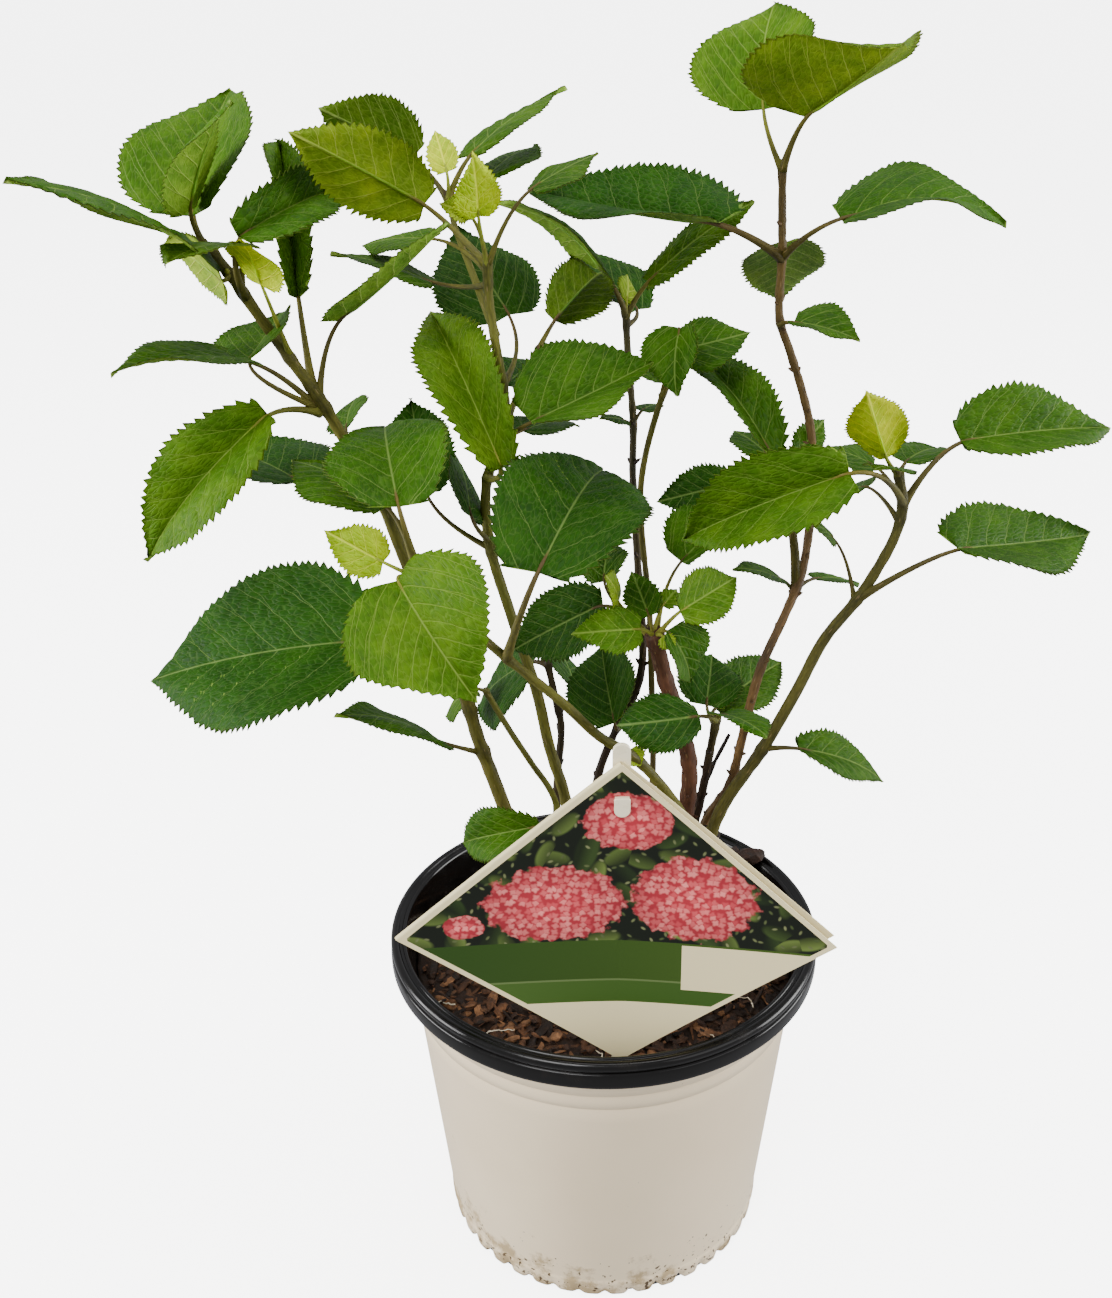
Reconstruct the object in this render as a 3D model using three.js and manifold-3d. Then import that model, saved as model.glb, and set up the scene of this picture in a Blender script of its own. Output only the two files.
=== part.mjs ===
// Potted smooth hydrangea: a nursery pot of potting mix with eleven leafy stems and a staked
// plant label. Millimetres, +Z up, origin on the pot's axis at its underside, front is -Y.
import * as THREE from 'three';
import { mergeVertices } from 'three/addons/utils/BufferGeometryUtils.js';
import Module from 'manifold-3d';

const wasm = await Module();
wasm.setup();

// Pot
const potHeight = 134;
const rimRadius = 84;
const rimDepth = 10.8;
const wallTopRadius = 76.4;
const baseRadius = 64.8;
const wall = 1.4;
const potFloor = 1.8;
const ringLevel = 112;
const potSides = 36;
const scallopHeight = 8;
const scallopDepth = 0.9;
const drainHoles = 6;
const drainRadius = 5;
const drainCircle = 47;

// Potting mix
const gap = 0.35;
const soilTop = 118.5;
const soilBump = 1.2;
const mixSides = 20;
const barkChips = 20;
const chipMargin = 7;
const stemFootLevel = 98;

// Leaves and stems
const bladeThickness = 0.7;
const largeLeaf = 52;
const smallLeaf = 26;
const lobe = 0.07;
const edgeDroop = -0.1;
const toothDepth = 0.07;
const toothLean = 0.7;
const stemSides = 6;
const petioleSides = 3;
const scrapVolume = 1;

// Plant label and stake
const label = { centreX: 3, apex: 243.5, middle: 177.5, lean: 4, foot: 120.2, halfWidth: 75.5, y: -65,
  wingForward: 8, card: 0.6, leafGap: 0.8, foldBand: 1.8 };
const stake = { width: 6, thickness: 1.6, top: 250, tip: 72, tabTop: 231.5, tabBottom: 224.5 };

const degrees = Math.PI / 180;
const vector = (xyz) => new THREE.Vector3(...xyz);

// A repeatable draw between 0 and 1.
function seeded(seed) {
  let state = seed;
  return () => {
    state = (state * 1664525 + 1013904223) % 4294967296;
    return state / 4294967296;
  };
}

// A closed three.js geometry as a solid that can be joined and cut.
function solid(geometry) {
  const bare = geometry.clone();
  bare.deleteAttribute('normal');
  bare.deleteAttribute('uv');
  const shared = mergeVertices(bare, 1e-4);
  return new wasm.Manifold(new wasm.Mesh({
    numProp: 3,
    vertProperties: new Float32Array(shared.attributes.position.array),
    triVerts: new Uint32Array(shared.index.array),
  }));
}

// The largest body of a joined solid, as a geometry: loose scraps are dropped.
function geometryOf(joined) {
  const bodies = joined.decompose();
  bodies.sort((one, other) => other.volume() - one.volume());
  if (bodies.length > 1 && bodies[1].volume() > scrapVolume) {
    throw new Error('a part is not joined');
  }
  const mesh = bodies[0].getMesh();
  const geometry = new THREE.BufferGeometry();
  geometry.setAttribute('position', new THREE.BufferAttribute(mesh.vertProperties, 3));
  geometry.setIndex(new THREE.BufferAttribute(mesh.triVerts, 1));
  geometry.computeVertexNormals();
  return geometry;
}

function joinAll(solids) {
  return solids.reduce((whole, next) => whole.add(next));
}

function piece(name, joined, colour, roughness) {
  const material = new THREE.MeshStandardMaterial({ color: colour, roughness, metalness: 0 });
  const mesh = new THREE.Mesh(geometryOf(joined), material);
  mesh.name = name;
  return mesh;
}

function box(width, depth, height, x, y, z) {
  const geometry = new THREE.BoxGeometry(width, depth, height);
  geometry.translate(x, y, z);
  return solid(geometry);
}

function uprightCylinder(radius, sides, x, y, bottom, top) {
  const geometry = new THREE.CylinderGeometry(radius, radius, top - bottom, sides);
  geometry.rotateX(Math.PI / 2);
  geometry.translate(x, y, (top + bottom) / 2);
  return solid(geometry);
}

// A closed profile of [radius, height] points turned about the Z axis.
function turned(profile, sides) {
  const geometry = new THREE.LatheGeometry(profile.map(([r, z]) => new THREE.Vector2(r, z)), sides);
  geometry.rotateX(Math.PI / 2);
  return geometry;
}

// The pot wall's outer radius at a height.
function wallRadius(z) {
  const climb = (z - scallopHeight) / (potHeight - rimDepth - scallopHeight);
  return baseRadius + (wallTopRadius - baseRadius) * climb;
}

// Pot: one moulded shell with a rolled rim, a scalloped foot and drain holes.
function pot() {
  const rimFoot = potHeight - rimDepth;
  const profile = [
    [0, 0], [baseRadius - 1.6, 0], [baseRadius - 0.4, 1.5], [baseRadius + 0.4, scallopHeight - 1],
    [wallRadius(scallopHeight + 0.4), scallopHeight + 0.4], [wallRadius(ringLevel), ringLevel],
    [wallRadius(ringLevel + 1) + 0.5, ringLevel + 1], [wallTopRadius, rimFoot],
    [rimRadius - 1, rimFoot - 0.3], [rimRadius, rimFoot + 1.2], [rimRadius - 0.8, rimFoot + 4],
    [rimRadius - 0.4, potHeight - 1],
    [rimRadius - 1.6, potHeight], [rimRadius - 3.2, potHeight], [rimRadius - 4.2, potHeight - 1.2],
    [wallRadius(ringLevel) - wall, ringLevel], [baseRadius - wall - 0.6, potFloor],
    [0, potFloor], [0, 0],
  ];
  const geometry = turned(profile, potSides);
  const places = geometry.attributes.position;
  for (let i = 0; i < places.count; i += 1) {
    const radius = Math.hypot(places.getX(i), places.getY(i));
    const angle = Math.atan2(places.getY(i), places.getX(i));
    const valley = Math.round(angle / (2 * Math.PI / potSides)) % 2 !== 0;
    if (valley && places.getZ(i) < scallopHeight && radius > baseRadius - wall) {
      const shrink = 1 - scallopDepth / radius;
      places.setX(i, places.getX(i) * shrink);
      places.setY(i, places.getY(i) * shrink);
    }
  }
  let shell = solid(geometry);
  for (let i = 0; i < drainHoles; i += 1) {
    const angle = (i + 0.5) * 2 * Math.PI / drainHoles;
    const x = drainCircle * Math.cos(angle);
    const y = drainCircle * Math.sin(angle);
    shell = shell.subtract(uprightCylinder(drainRadius, 8, x, y, -2, potFloor + 1));
  }
  return piece('pot', shell, 0xd9d2c0, 0.4);
}

// Potting mix: fills the pot, with bark chips on top and a plain hole for each thing it holds.
function pottingMix(feet) {
  const random = seeded(7);
  const bottom = potFloor + gap;
  const inner = (z) => wallRadius(z) - wall - gap - 0.25;
  const profile = [
    [0, bottom], [baseRadius - wall - 1.3, bottom], [inner(60), 60], [inner(soilTop), soilTop],
    [inner(soilTop) * 0.7, soilTop], [inner(soilTop) * 0.36, soilTop], [0, soilTop], [0, bottom],
  ];
  const geometry = turned(profile, mixSides);
  const places = geometry.attributes.position;
  for (let i = 0; i < places.count; i += 1) {
    const x = places.getX(i);
    const y = places.getY(i);
    if (places.getZ(i) > soilTop - 0.1 && Math.hypot(x, y) < inner(soilTop) * 0.9) {
      places.setZ(i, soilTop + soilBump * Math.sin(x * 0.21 + 1) * Math.cos(y * 0.17));
    }
  }
  let mix = solid(geometry);
  const chips = [];
  while (chips.length < barkChips) {
    const angle = random() * 2 * Math.PI;
    const radius = Math.sqrt(random()) * (inner(soilTop) - chipMargin);
    const size = 3 + 5 * random();
    const chip = new THREE.BoxGeometry(size * 1.7, size, 2.2 + 2 * random());
    chip.rotateX((random() - 0.5) * 0.9);
    chip.rotateY((random() - 0.5) * 0.9);
    chip.rotateZ(random() * Math.PI);
    const x = radius * Math.cos(angle);
    const y = radius * Math.sin(angle);
    const clearOfLabel = y > label.y + 14 || Math.abs(x) > 44;
    const clearOfStems = feet.every((foot) => (
      Math.hypot(foot.at[0] - x, foot.at[1] - y) > foot.radius + size + 1));
    if (clearOfLabel && clearOfStems) {
      chip.translate(x, y, soilTop + 0.6);
      chips.push(solid(chip));
    }
  }
  mix = joinAll([mix, ...chips]);
  for (const { at, radius } of feet) {
    const bore = (radius + gap + 0.15) / Math.cos(Math.PI / stemSides);
    const [x, y] = at;
    mix = mix.subtract(uprightCylinder(bore, stemSides, x, y, stemFootLevel - gap, soilTop + 20));
  }
  const slotY = label.y + label.card + label.leafGap + label.card + gap + stake.thickness / 2;
  mix = mix.subtract(box(stake.width + 2 * gap, stake.thickness + 2 * gap, soilTop,
    label.centreX, slotY, stake.tip - gap + soilTop / 2));
  return piece('potting_mix', mix, 0x3b2a20, 0.95);
}

// How wide a blade is along its length: round at the stalk, widest before the middle, then pointed.
function outline(u) {
  return Math.sin(Math.PI * u ** 0.72) ** (0.6 + 0.5 * u);
}

// A blade's directions: along the midrib, level across it, square above both, and its turned face.
function bladeFrame(base, tip, roll) {
  const axis = tip.clone().sub(base).normalize();
  const level = new THREE.Vector3(0, 0, 1).cross(axis).normalize();
  const up = axis.clone().cross(level);
  const face = up.clone().multiplyScalar(Math.cos(roll * degrees));
  face.addScaledVector(level, -Math.sin(roll * degrees));
  return { axis, level, up, face };
}

// How many straight steps a blade's midrib has.
const stationsOf = (length) => (length > largeLeaf ? 6 : length > smallLeaf ? 4 : 2);

// Leaf blade: a thin folded, arched plate with toothed margins. fold lifts both halves, roll turns
// the blade about its midrib with its left side up, arch bows the midrib (a share of the length).
function blade(base, tip, width, roll, fold, arch) {
  const length = tip.distanceTo(base);
  const { axis, level, up, face } = bladeFrame(base, tip, roll);
  const halves = [1, -1].map((hand) => {
    const turn = (fold + hand * roll) * degrees;
    return {
      out: level.clone().multiplyScalar(hand * Math.cos(turn)).addScaledVector(up, Math.sin(turn)),
      face: up.clone().multiplyScalar(Math.cos(turn)).addScaledVector(level, -hand * Math.sin(turn)),
    };
  });
  const place = (u, half, share) => {
    const reach = width / 2 * outline(u) * share;
    const shift = length * u - lobe * length * Math.min(share, 1) * (1 - u) ** 3 * (u > 0 ? 1 : 0);
    return base.clone()
      .addScaledVector(axis, shift)
      .addScaledVector(face, arch * length * 4 * u * (1 - u))
      .addScaledVector(half.out, reach)
      .addScaledVector(half.face, edgeDroop * reach * share);
  };
  const stations = stationsOf(length);
  const hasMiddleRow = length > largeLeaf;
  const points = [];
  const keep = (point) => points.push(point) - 1;
  const rib = [];
  for (let i = 0; i <= stations; i += 1) rib.push(keep(place(i / stations, halves[0], 0)));
  const triangles = [];
  const rims = [];
  halves.forEach((half, h) => {
    const face3 = (a, b, c) => triangles.push(h === 0 ? [a, b, c] : [a, c, b]);
    const inner = rib.slice();
    if (hasMiddleRow) {
      for (let i = 1; i < stations; i += 1) inner[i] = keep(place(i / stations, half, 0.55));
      for (let i = 0; i < stations; i += 1) {
        if (i < stations - 1) face3(rib[i], rib[i + 1], inner[i + 1]);
        if (i > 0) face3(rib[i], i < stations - 1 ? inner[i + 1] : rib[i + 1], inner[i]);
      }
    }
    const rim = [rib[0]];
    for (let i = 0; i < stations; i += 1) {
      const tooth = keep(place((i + toothLean) / stations, half, 1 + toothDepth));
      const last = i === stations - 1;
      const notch = last ? rib[stations] : keep(place((i + 1) / stations, half, 1 - toothDepth));
      if (i > 0) face3(inner[i], tooth, rim[rim.length - 1]);
      face3(inner[i], inner[i + 1], tooth);
      if (!last) face3(inner[i + 1], notch, tooth);
      rim.push(tooth, notch);
    }
    rims.push({ rim, flip: h === 1 });
  });
  const count = points.length;
  const half = face.clone().multiplyScalar(bladeThickness / 2 / Math.cos(fold * degrees));
  const places = [];
  for (const point of points) places.push(...point.clone().add(half).toArray());
  for (const point of points) places.push(...point.clone().sub(half).toArray());
  const index = [];
  for (const [a, b, c] of triangles) index.push(a, b, c, a + count, c + count, b + count);
  for (const { rim, flip } of rims) {
    for (let k = 0; k < rim.length - 1; k += 1) {
      const [a, b] = flip ? [rim[k + 1], rim[k]] : [rim[k], rim[k + 1]];
      index.push(a, b, b + count, a, b + count, a + count);
    }
  }
  const geometry = new THREE.BufferGeometry();
  geometry.setAttribute('position', new THREE.BufferAttribute(new Float32Array(places), 3));
  geometry.setIndex(index);
  return solid(geometry);
}

// A round rod along a curve, narrowing evenly to endShare of its radius.
function rod(curve, radius, endShare, sides, steps) {
  const section = new THREE.Shape();
  for (let i = 0; i < sides; i += 1) {
    const angle = i * 2 * Math.PI / sides;
    const corner = [radius * Math.cos(angle), radius * Math.sin(angle)];
    if (i === 0) section.moveTo(...corner);
    else section.lineTo(...corner);
  }
  const geometry = new THREE.ExtrudeGeometry(section, { extrudePath: curve, steps });
  const centres = curve.getSpacedPoints(steps);
  const places = geometry.attributes.position;
  for (let i = 0; i < places.count; i += 1) {
    const point = new THREE.Vector3().fromBufferAttribute(places, i);
    const distances = centres.map((centre) => centre.distanceTo(point));
    const ring = distances.indexOf(Math.min(...distances));
    const share = 1 + (endShare - 1) * ring / steps;
    point.sub(centres[ring]).multiplyScalar(share).add(centres[ring]);
    places.setXYZ(i, point.x, point.y, point.z);
  }
  return solid(geometry);
}

// A stem or side shoot through hand-chosen points.
function shoot(points, radius, endShare) {
  const curve = new THREE.CatmullRomCurve3(points.map(vector), false, 'centripetal');
  return rod(curve, radius, endShare, stemSides, Math.round(curve.getLength() / 22) + 2);
}

// One leaf: its stalk leaves the stem at from, meets the blade at base and runs under its midrib.
function leaf([from, base, tip, width, roll, fold, arch = 0.05]) {
  const start = vector(from);
  const foot = vector(base);
  const end = vector(tip);
  const length = foot.distanceTo(end);
  const { axis, face } = bladeFrame(foot, end, roll);
  const control = foot.clone().addScaledVector(axis, -0.3 * start.distanceTo(foot));
  const share = 0.05 + 1.5 / length;
  const inside = foot.clone().addScaledVector(axis, share * length);
  const step = 1 / stationsOf(length);
  inside.addScaledVector(face, arch * length * 4 * share * (1 - step));
  const stalk = new THREE.QuadraticBezierCurve3(start, control, inside);
  const radius = 0.75 + 0.008 * length;
  return [rod(stalk, radius, 0.35, petioleSides, 2), blade(foot, end, width, roll, fold, arch)];
}

function leafyStem(name, { radius, endShare, foot, route, shoots = [], leaves }, colour) {
  const buried = [[foot[0], foot[1], stemFootLevel], [foot[0], foot[1], stemFootLevel + 14],
    [foot[0], foot[1], soilTop + 6]];
  const parts = [shoot([...buried, ...route], radius, endShare)];
  for (const side of shoots) parts.push(shoot(side.route, side.radius, 0.7));
  for (const entry of leaves) parts.push(...leaf(entry));
  return piece(name, joinAll(parts), colour, 0.6);
}

// Each stem stands in the mix at foot and runs through route. A leaf is listed as the point where
// its stalk leaves the stem, the blade's base and tip, its width, roll, fold and sometimes arch.
const stems = {
  left_stem: {
    radius: 3.1, endShare: 0.55, foot: [-24, 5],
    route: [[-29, 8, 150], [-39, 14, 183], [-47, 16, 209], [-52, 18, 229], [-63, 18, 259],
      [-72, 16, 288], [-78, 12, 310], [-90, 6, 337], [-95, 4, 348], [-103, 2, 362],
      [-111, 0, 376], [-118, -4, 390], [-124, -8, 401]],
    leaves: [
      [[-124, -8, 400], [-128, -6, 410], [-119, 33, 443], 55, -16, 28],
      [[-124, -8, 400], [-127, -14, 413], [-107, -37, 447], 26, 26, 16],
      [[-123, -7, 398], [-128, -12, 402], [-160, -81, 432], 44, -17, 0],
      [[-119, -5, 392], [-120, -10, 390], [-143, 14, 398], 24, 65, 1],
      [[-116, -3, 385], [-114, -16, 403], [-127, -54, 405], 26, 3, 5],
      [[-115, -3, 384], [-112, -20, 406], [-87, 30, 411], 24, 54, 48, 0.13],
      [[-103, 2, 363], [-107, -18, 391], [-109, -35, 408], 20, -25, 7],
      [[-97, 4, 352], [-102, 24, 377], [-114, 91, 420], 32, -2, 72, 0.11],
      [[-95, 4, 348], [-87, 4, 374], [-48, -19, 409], 23, 4, 27, -0.02],
      [[-96, 4, 345], [-116, -8, 364], [-151, -40, 370], 30, -1, 12, 0.07],
      [[-96, 4, 345], [-115, -10, 365], [-108, 21, 373], 33, -21, 27, -0.01],
      [[-95, 4, 343], [-111, -6, 346], [-158, -3, 293], 32, -70, 38, 0.14],
      [[-78, 12, 308], [-107, 20, 313], [-145, 62, 311], 48, 1, 15],
      [[-87, 8, 330], [-88, 14, 334], [-86, 35, 339], 18, -37, 11],
      [[-61, 18, 252], [-83, -20, 269], [-167, 10, 240], 66, -37, 13],
      [[-46, 16, 203], [-61, 4, 214], [-96, -21, 240], 29, 0, 5, 0.09],
      [[-32, 9, 160], [-24, -20, 192], [-54, -1, 173], 22, -65, 35, 0.15],
      [[-50, 17, 221], [-50, 34, 221], [-61, 48, 202], 18, -44, 0],
    ],
  },
  crossing_stem: {
    radius: 2.3, endShare: 0.6, foot: [34, -17],
    route: [[34, -18, 160], [32, -19, 186], [12, -25, 221], [-3, -32, 236], [-16, -38, 253],
      [-34, -44, 273], [-41, -46, 281], [-52, -46, 293], [-63, -48, 310]],
    leaves: [
      [[-61, -48, 307], [-65, -58, 332], [-73, -1, 339], 40, -10, 16, 0.11],
      [[-62, -48, 308], [-71, -34, 323], [-105, -4, 329], 34, 5, 0],
      [[-58, -47, 302], [-71.1, -56, 313.1], [-87, -66, 328], 16, -87, 8],
      [[-54, -46, 296], [-66, -66, 311], [-42, -92, 282], 51, 43, 28, 0.11],
      [[-34, -44, 273], [-23, -62, 311], [1, 16, 316], 50, 16, 16, 0.11],
      [[12, -25, 221], [8, -25, 226.1], [12.2, -27, 220.6], 9, 55, 12],
    ],
  },
  inner_left_stem: {
    radius: 2.5, endShare: 0.6, foot: [-8, 2],
    route: [[-10, 4, 151], [-14, 6, 187], [-20, 8, 210], [-24, 10, 231], [-33, 10, 264],
      [-40, 8, 294], [-40, 6, 316], [-35, 4, 332], [-33, 4, 346], [-35, 4, 363], [-37, 4, 380],
      [-37, 2, 393]],
    shoots: [
      { radius: 1.3, route: [[-35, 4, 368], [-43, 18, 387], [-48, 24, 400], [-50, 26, 409]] },
      { radius: 1.2, route: [[-34, 4, 334], [-28, 26, 343], [-21, 36, 354]] },
    ],
    leaves: [
      [[-38, 8, 290], [-62, 14, 310], [-67, 36, 338], 30, -6, 45],
      [[-40, 8, 294], [-46, -4, 308], [-52, 24, 322], 24, 58, 2],
      [[-40, 6, 318], [-34, -16, 329], [-59, 45, 367], 32, -22, 42, 0.14],
      [[-34, 4, 332], [-24, -14, 344], [17, 1, 359], 44, 20, 35, -0.01],
      [[-34, 4, 332], [-27, 20, 330], [-8, 47, 324], 24, 0, 5],
      [[-33, 4, 346], [-33, 40, 341], [-18, 71, 341], 30, 7, 7],
      [[-37, 3, 391], [-57.1, 12, 409.4], [-93.2, -26, 436.8], 27, 69, 14, 0.04],
      [[-50, 26, 408], [-61.3, 32, 421], [-90.6, 26, 437.8], 28, 81, 10, 0.05],
      [[-37, 3, 389], [-57, 34, 394], [-82, 50, 389], 22, -11, 1],
      [[-37, 4, 385], [-57, 30, 380], [-92, 38, 389], 22, 5, 5],
      [[-37, 2, 391], [-39.3, -6, 408.5], [-39.9, -22, 429.8], 15, -162, 12],
      [[-37, 2, 391], [-42.5, -4, 409.1], [-50.6, -14, 413.9], 8, -89, 12],
      [[-37, 2, 391], [-22, -2, 416], [-1, 5, 425], 20, 3, -1, 0.03],
      [[-50, 26, 408], [-37, 34, 414], [-21, 61, 420], 26, -12, 4],
      [[-50, 26, 408], [-42, 28, 422], [-9, 58, 439], 24, -14, 5],
      [[-50, 26, 408], [-49.8, 24, 417.5], [-53.5, 30, 429.9], 10.5, -30, 10],
      [[-33, 4, 352], [-31, 50, 364], [-50, 73, 391], 43, -9, 0, -0.01],
      [[-22, 35, 353], [-15, 44, 363], [0, 5, 388], 23, -43, 29, 0.08],
    ],
  },
  middle_stem: {
    radius: 1.9, endShare: 0.65, foot: [-2, 24],
    route: [[-1, 25, 147], [-1, 28, 181], [6, 30, 202], [13, 32, 215], [17, 34, 230],
      [15, 36, 273], [13, 38, 307], [13, 38, 327], [11, 38, 350], [10, 38, 367]],
    leaves: [
      [[10, 38, 366], [4, 34, 378], [-35, 73, 399], 27, 45, -1, 0.11],
      [[10, 38, 362], [15, 50, 365], [-10, 68, 383], 35, 2, 13],
      [[10, 38, 365], [18, 36, 378], [53, 32, 405], 18, 32, 5],
      [[10, 38, 366], [10, 36, 371], [11, 48, 378], 10, 50, 5],
      [[13, 38, 325], [10, 36, 328], [0, 26, 332], 9, -14, 5],
      [[13, 38, 326], [16, 38, 331], [24, 49, 330], 10, -2, 5],
      [[8, 31, 205], [5, 10, 218], [2, 46, 234], 32, -34, 33, 0.03],
    ],
  },
  thin_stem: {
    radius: 1.4, endShare: 0.8, foot: [20, 18],
    route: [[20, 20, 150], [21, 24, 195], [20, 26, 230], [19, 27, 256], [15, 24, 308],
      [22, 17, 344], [24, 16, 349]],
    leaves: [
      [[22, 16, 345], [27, 14, 367], [25, 1, 347], 24, 25, 31, 0.11],
      [[22, 16, 345], [28, 20, 358], [52, 22, 363], 25, 29, 6, -0.01],
      [[21, 16, 343], [23, 14, 348], [15, 30, 352], 20, 2, 15],
    ],
  },
  tall_right_stem: {
    radius: 2, endShare: 0.66, foot: [36, 9],
    route: [[37, 10, 150], [41, 12, 172], [49, 8, 190], [52, 1, 214], [54, -6, 236], [57, -7, 250],
      [65, -1, 266], [72, 9, 277], [75, 16, 287], [76, 18, 310], [74, 18, 329], [70, 16, 343],
      [64, 12, 359], [60, 12, 370], [59, 8, 391], [57, 4, 420]],
    shoots: [
      { radius: 1.7, route: [[70, 6, 272], [70, 12, 284], [68, 12, 296], [63, 12, 319]] },
    ],
    leaves: [
      [[57, 4, 419], [51, 8, 437], [56, 26, 467], 47, -25, 25, 0.11],
      [[57, 4, 419], [62, -4, 436], [79, -52, 460], 59, -1, 30, -0.01],
      [[59, 8, 391], [75, -8, 405], [127, -7, 402], 44, 9, 18, 0.16],
      [[59, 8, 391], [37, 0, 404], [-23, 70, 404], 40, -19, 31, -0.02],
      [[59, 8, 390], [65, 38, 390], [70, 73, 362], 29, -9, 7, -0.01],
      [[60, 11, 368], [63, 2, 371], [83, -9, 367], 23, 10, 26],
      [[63, 12, 318], [58.1, 4, 324.8], [31.4, 50, 349.2], 25, -6, 40, 0.1],
      [[63, 12, 318], [59, 14, 321], [49, 34, 324], 18, 1, 5],
      [[63, 12, 318], [68.9, 14, 322.3], [80.8, 28, 329.7], 11, 48, 14],
      [[64, 12, 314], [48.4, 20, 309.5], [21.1, 30, 298.8], 18, -75, 10],
      [[70, 7, 271], [65, 6, 277], [45, -6, 287], 14, -10, 5],
      [[71, 8, 273], [79, 18, 272], [100, 36, 261], 12, 5, 5],
    ],
  },
  right_stem: {
    radius: 2.8, endShare: 0.6, foot: [37, -5],
    route: [[38, -4, 160], [45, -2, 186], [59, -2, 211], [70, -4, 236], [79, -6, 259],
      [89, -8, 275], [95, -8, 286], [100, -10, 300], [101, -12, 312], [98, -14, 324]],
    leaves: [
      [[101, -12, 311], [119, -10, 333], [177, 10, 330], 34, 34, 32, 0.03],
      [[101, -12, 312], [76, -39, 333], [26, -14, 301], 36, -72, 44, 0.15],
      [[89, -8, 275], [121, -14, 296], [181, 25, 284], 39, 22, 19, -0.01],
      [[88, -8, 275], [82, 4, 293], [71, 2, 302], 14, -12, 5],
      [[60, -2, 212], [72, -8, 215], [108, 5, 192], 20, 27, 17, 0.08],
      [[98, -14, 323], [92, -20, 331], [78, -44, 361], 20, 29, 30, -0.01],
      [[98, -14, 322], [101, -10, 326], [118, 12, 323], 20, 0, 18],
      [[98, -14, 322], [97, -18, 326], [84, -37, 333], 16, 0, 5],
      [[100, -11, 314], [92, -4, 323], [77, 0, 328], 22, -5, 4],
      [[100, -11, 306], [93, 8, 311], [86, 28, 300], 16, -18, 5],
    ],
  },
  old_stub: {
    radius: 3.4, endShare: 0.85, foot: [25, -7],
    route: [[26, -6, 154], [31, -9, 192], [31, -13, 212], [27, -16, 232], [21, -20, 251],
      [16, -26, 273]],
    leaves: [
      [[17, -25, 270], [27, -6, 290], [49, 6, 303], 31, 8, 33],
      [[16, -25, 270], [0, -10, 285], [4, 6, 292], 18, -25, 9, 0.11],
      [[16, -26, 270], [4, -22, 282], [-1, -35, 298], 14, -78, 5],
      [[16, -26, 269], [-1, -20, 280.9], [-32.7, -6, 257], 25, -68, 14],
      [[16, -26, 271], [10.9, -32, 276.8], [-12.6, -42, 280.3], 16, -59, 8],
      [[16, -25, 271], [14.4, -25, 278.3], [9, -14, 290.4], 13, -21, 10],
      [[17, -26, 271], [24, -34, 284], [45.4, -12, 286.4], 19, 50, 20],
      [[17, -26, 270], [20, -32, 276], [28, -32, 256], 23, 41, 31, 0.11],
      [[16, -25, 271], [19.1, -22, 280.6], [24.9, -14, 283.2], 7, 38, 10],
      [[17, -26, 271], [18.5, -33, 274.5], [22.4, -36, 270.3], 6, 50, 14],
    ],
  },
  short_shoot: {
    radius: 2, endShare: 0.75, foot: [29, 3],
    route: [[30, 4, 150], [37, 0, 188], [39, -8, 214], [40, -17, 234]],
    leaves: [
      [[40, -16, 232], [32, -30, 242], [2, -50, 250], 23, -52, -23, -0.03],
      [[40, -14, 229], [42.4, 7, 224.9], [73.1, 42, 226], 23, 29, 18],
      [[40, -14, 229], [38.1, 0, 230.1], [43.1, 26, 237.7], 25, 14, 16],
      [[40, -16, 232], [41, -22, 238], [53, -48, 243], 20, -12, 12],
    ],
  },
  back_twig: {
    radius: 1.7, endShare: 0.8, foot: [-16, 25],
    route: [[-17, 25, 150], [-17, 25, 181], [-15, 26, 209], [-17, 27, 220], [-20, 28, 236]],
    leaves: [
      [[-20, 28, 234], [-25, 30, 235], [-48, 65, 198], 44, -47, 0],
      [[-16, 27, 214], [-9, 40, 217], [-17, 73, 221], 26, 41, 3],
    ],
  },
  left_twig: {
    radius: 1.4, endShare: 0.8, foot: [-15, -8],
    route: [[-16, -7, 150], [-18, -4, 192], [-27, -6, 211], [-34, -8, 225], [-43, -8, 243]],
    leaves: [[[-42, -8, 242], [-47, -13, 246], [-58, -24, 252], 14, -10, 8]],
  },
};

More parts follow.
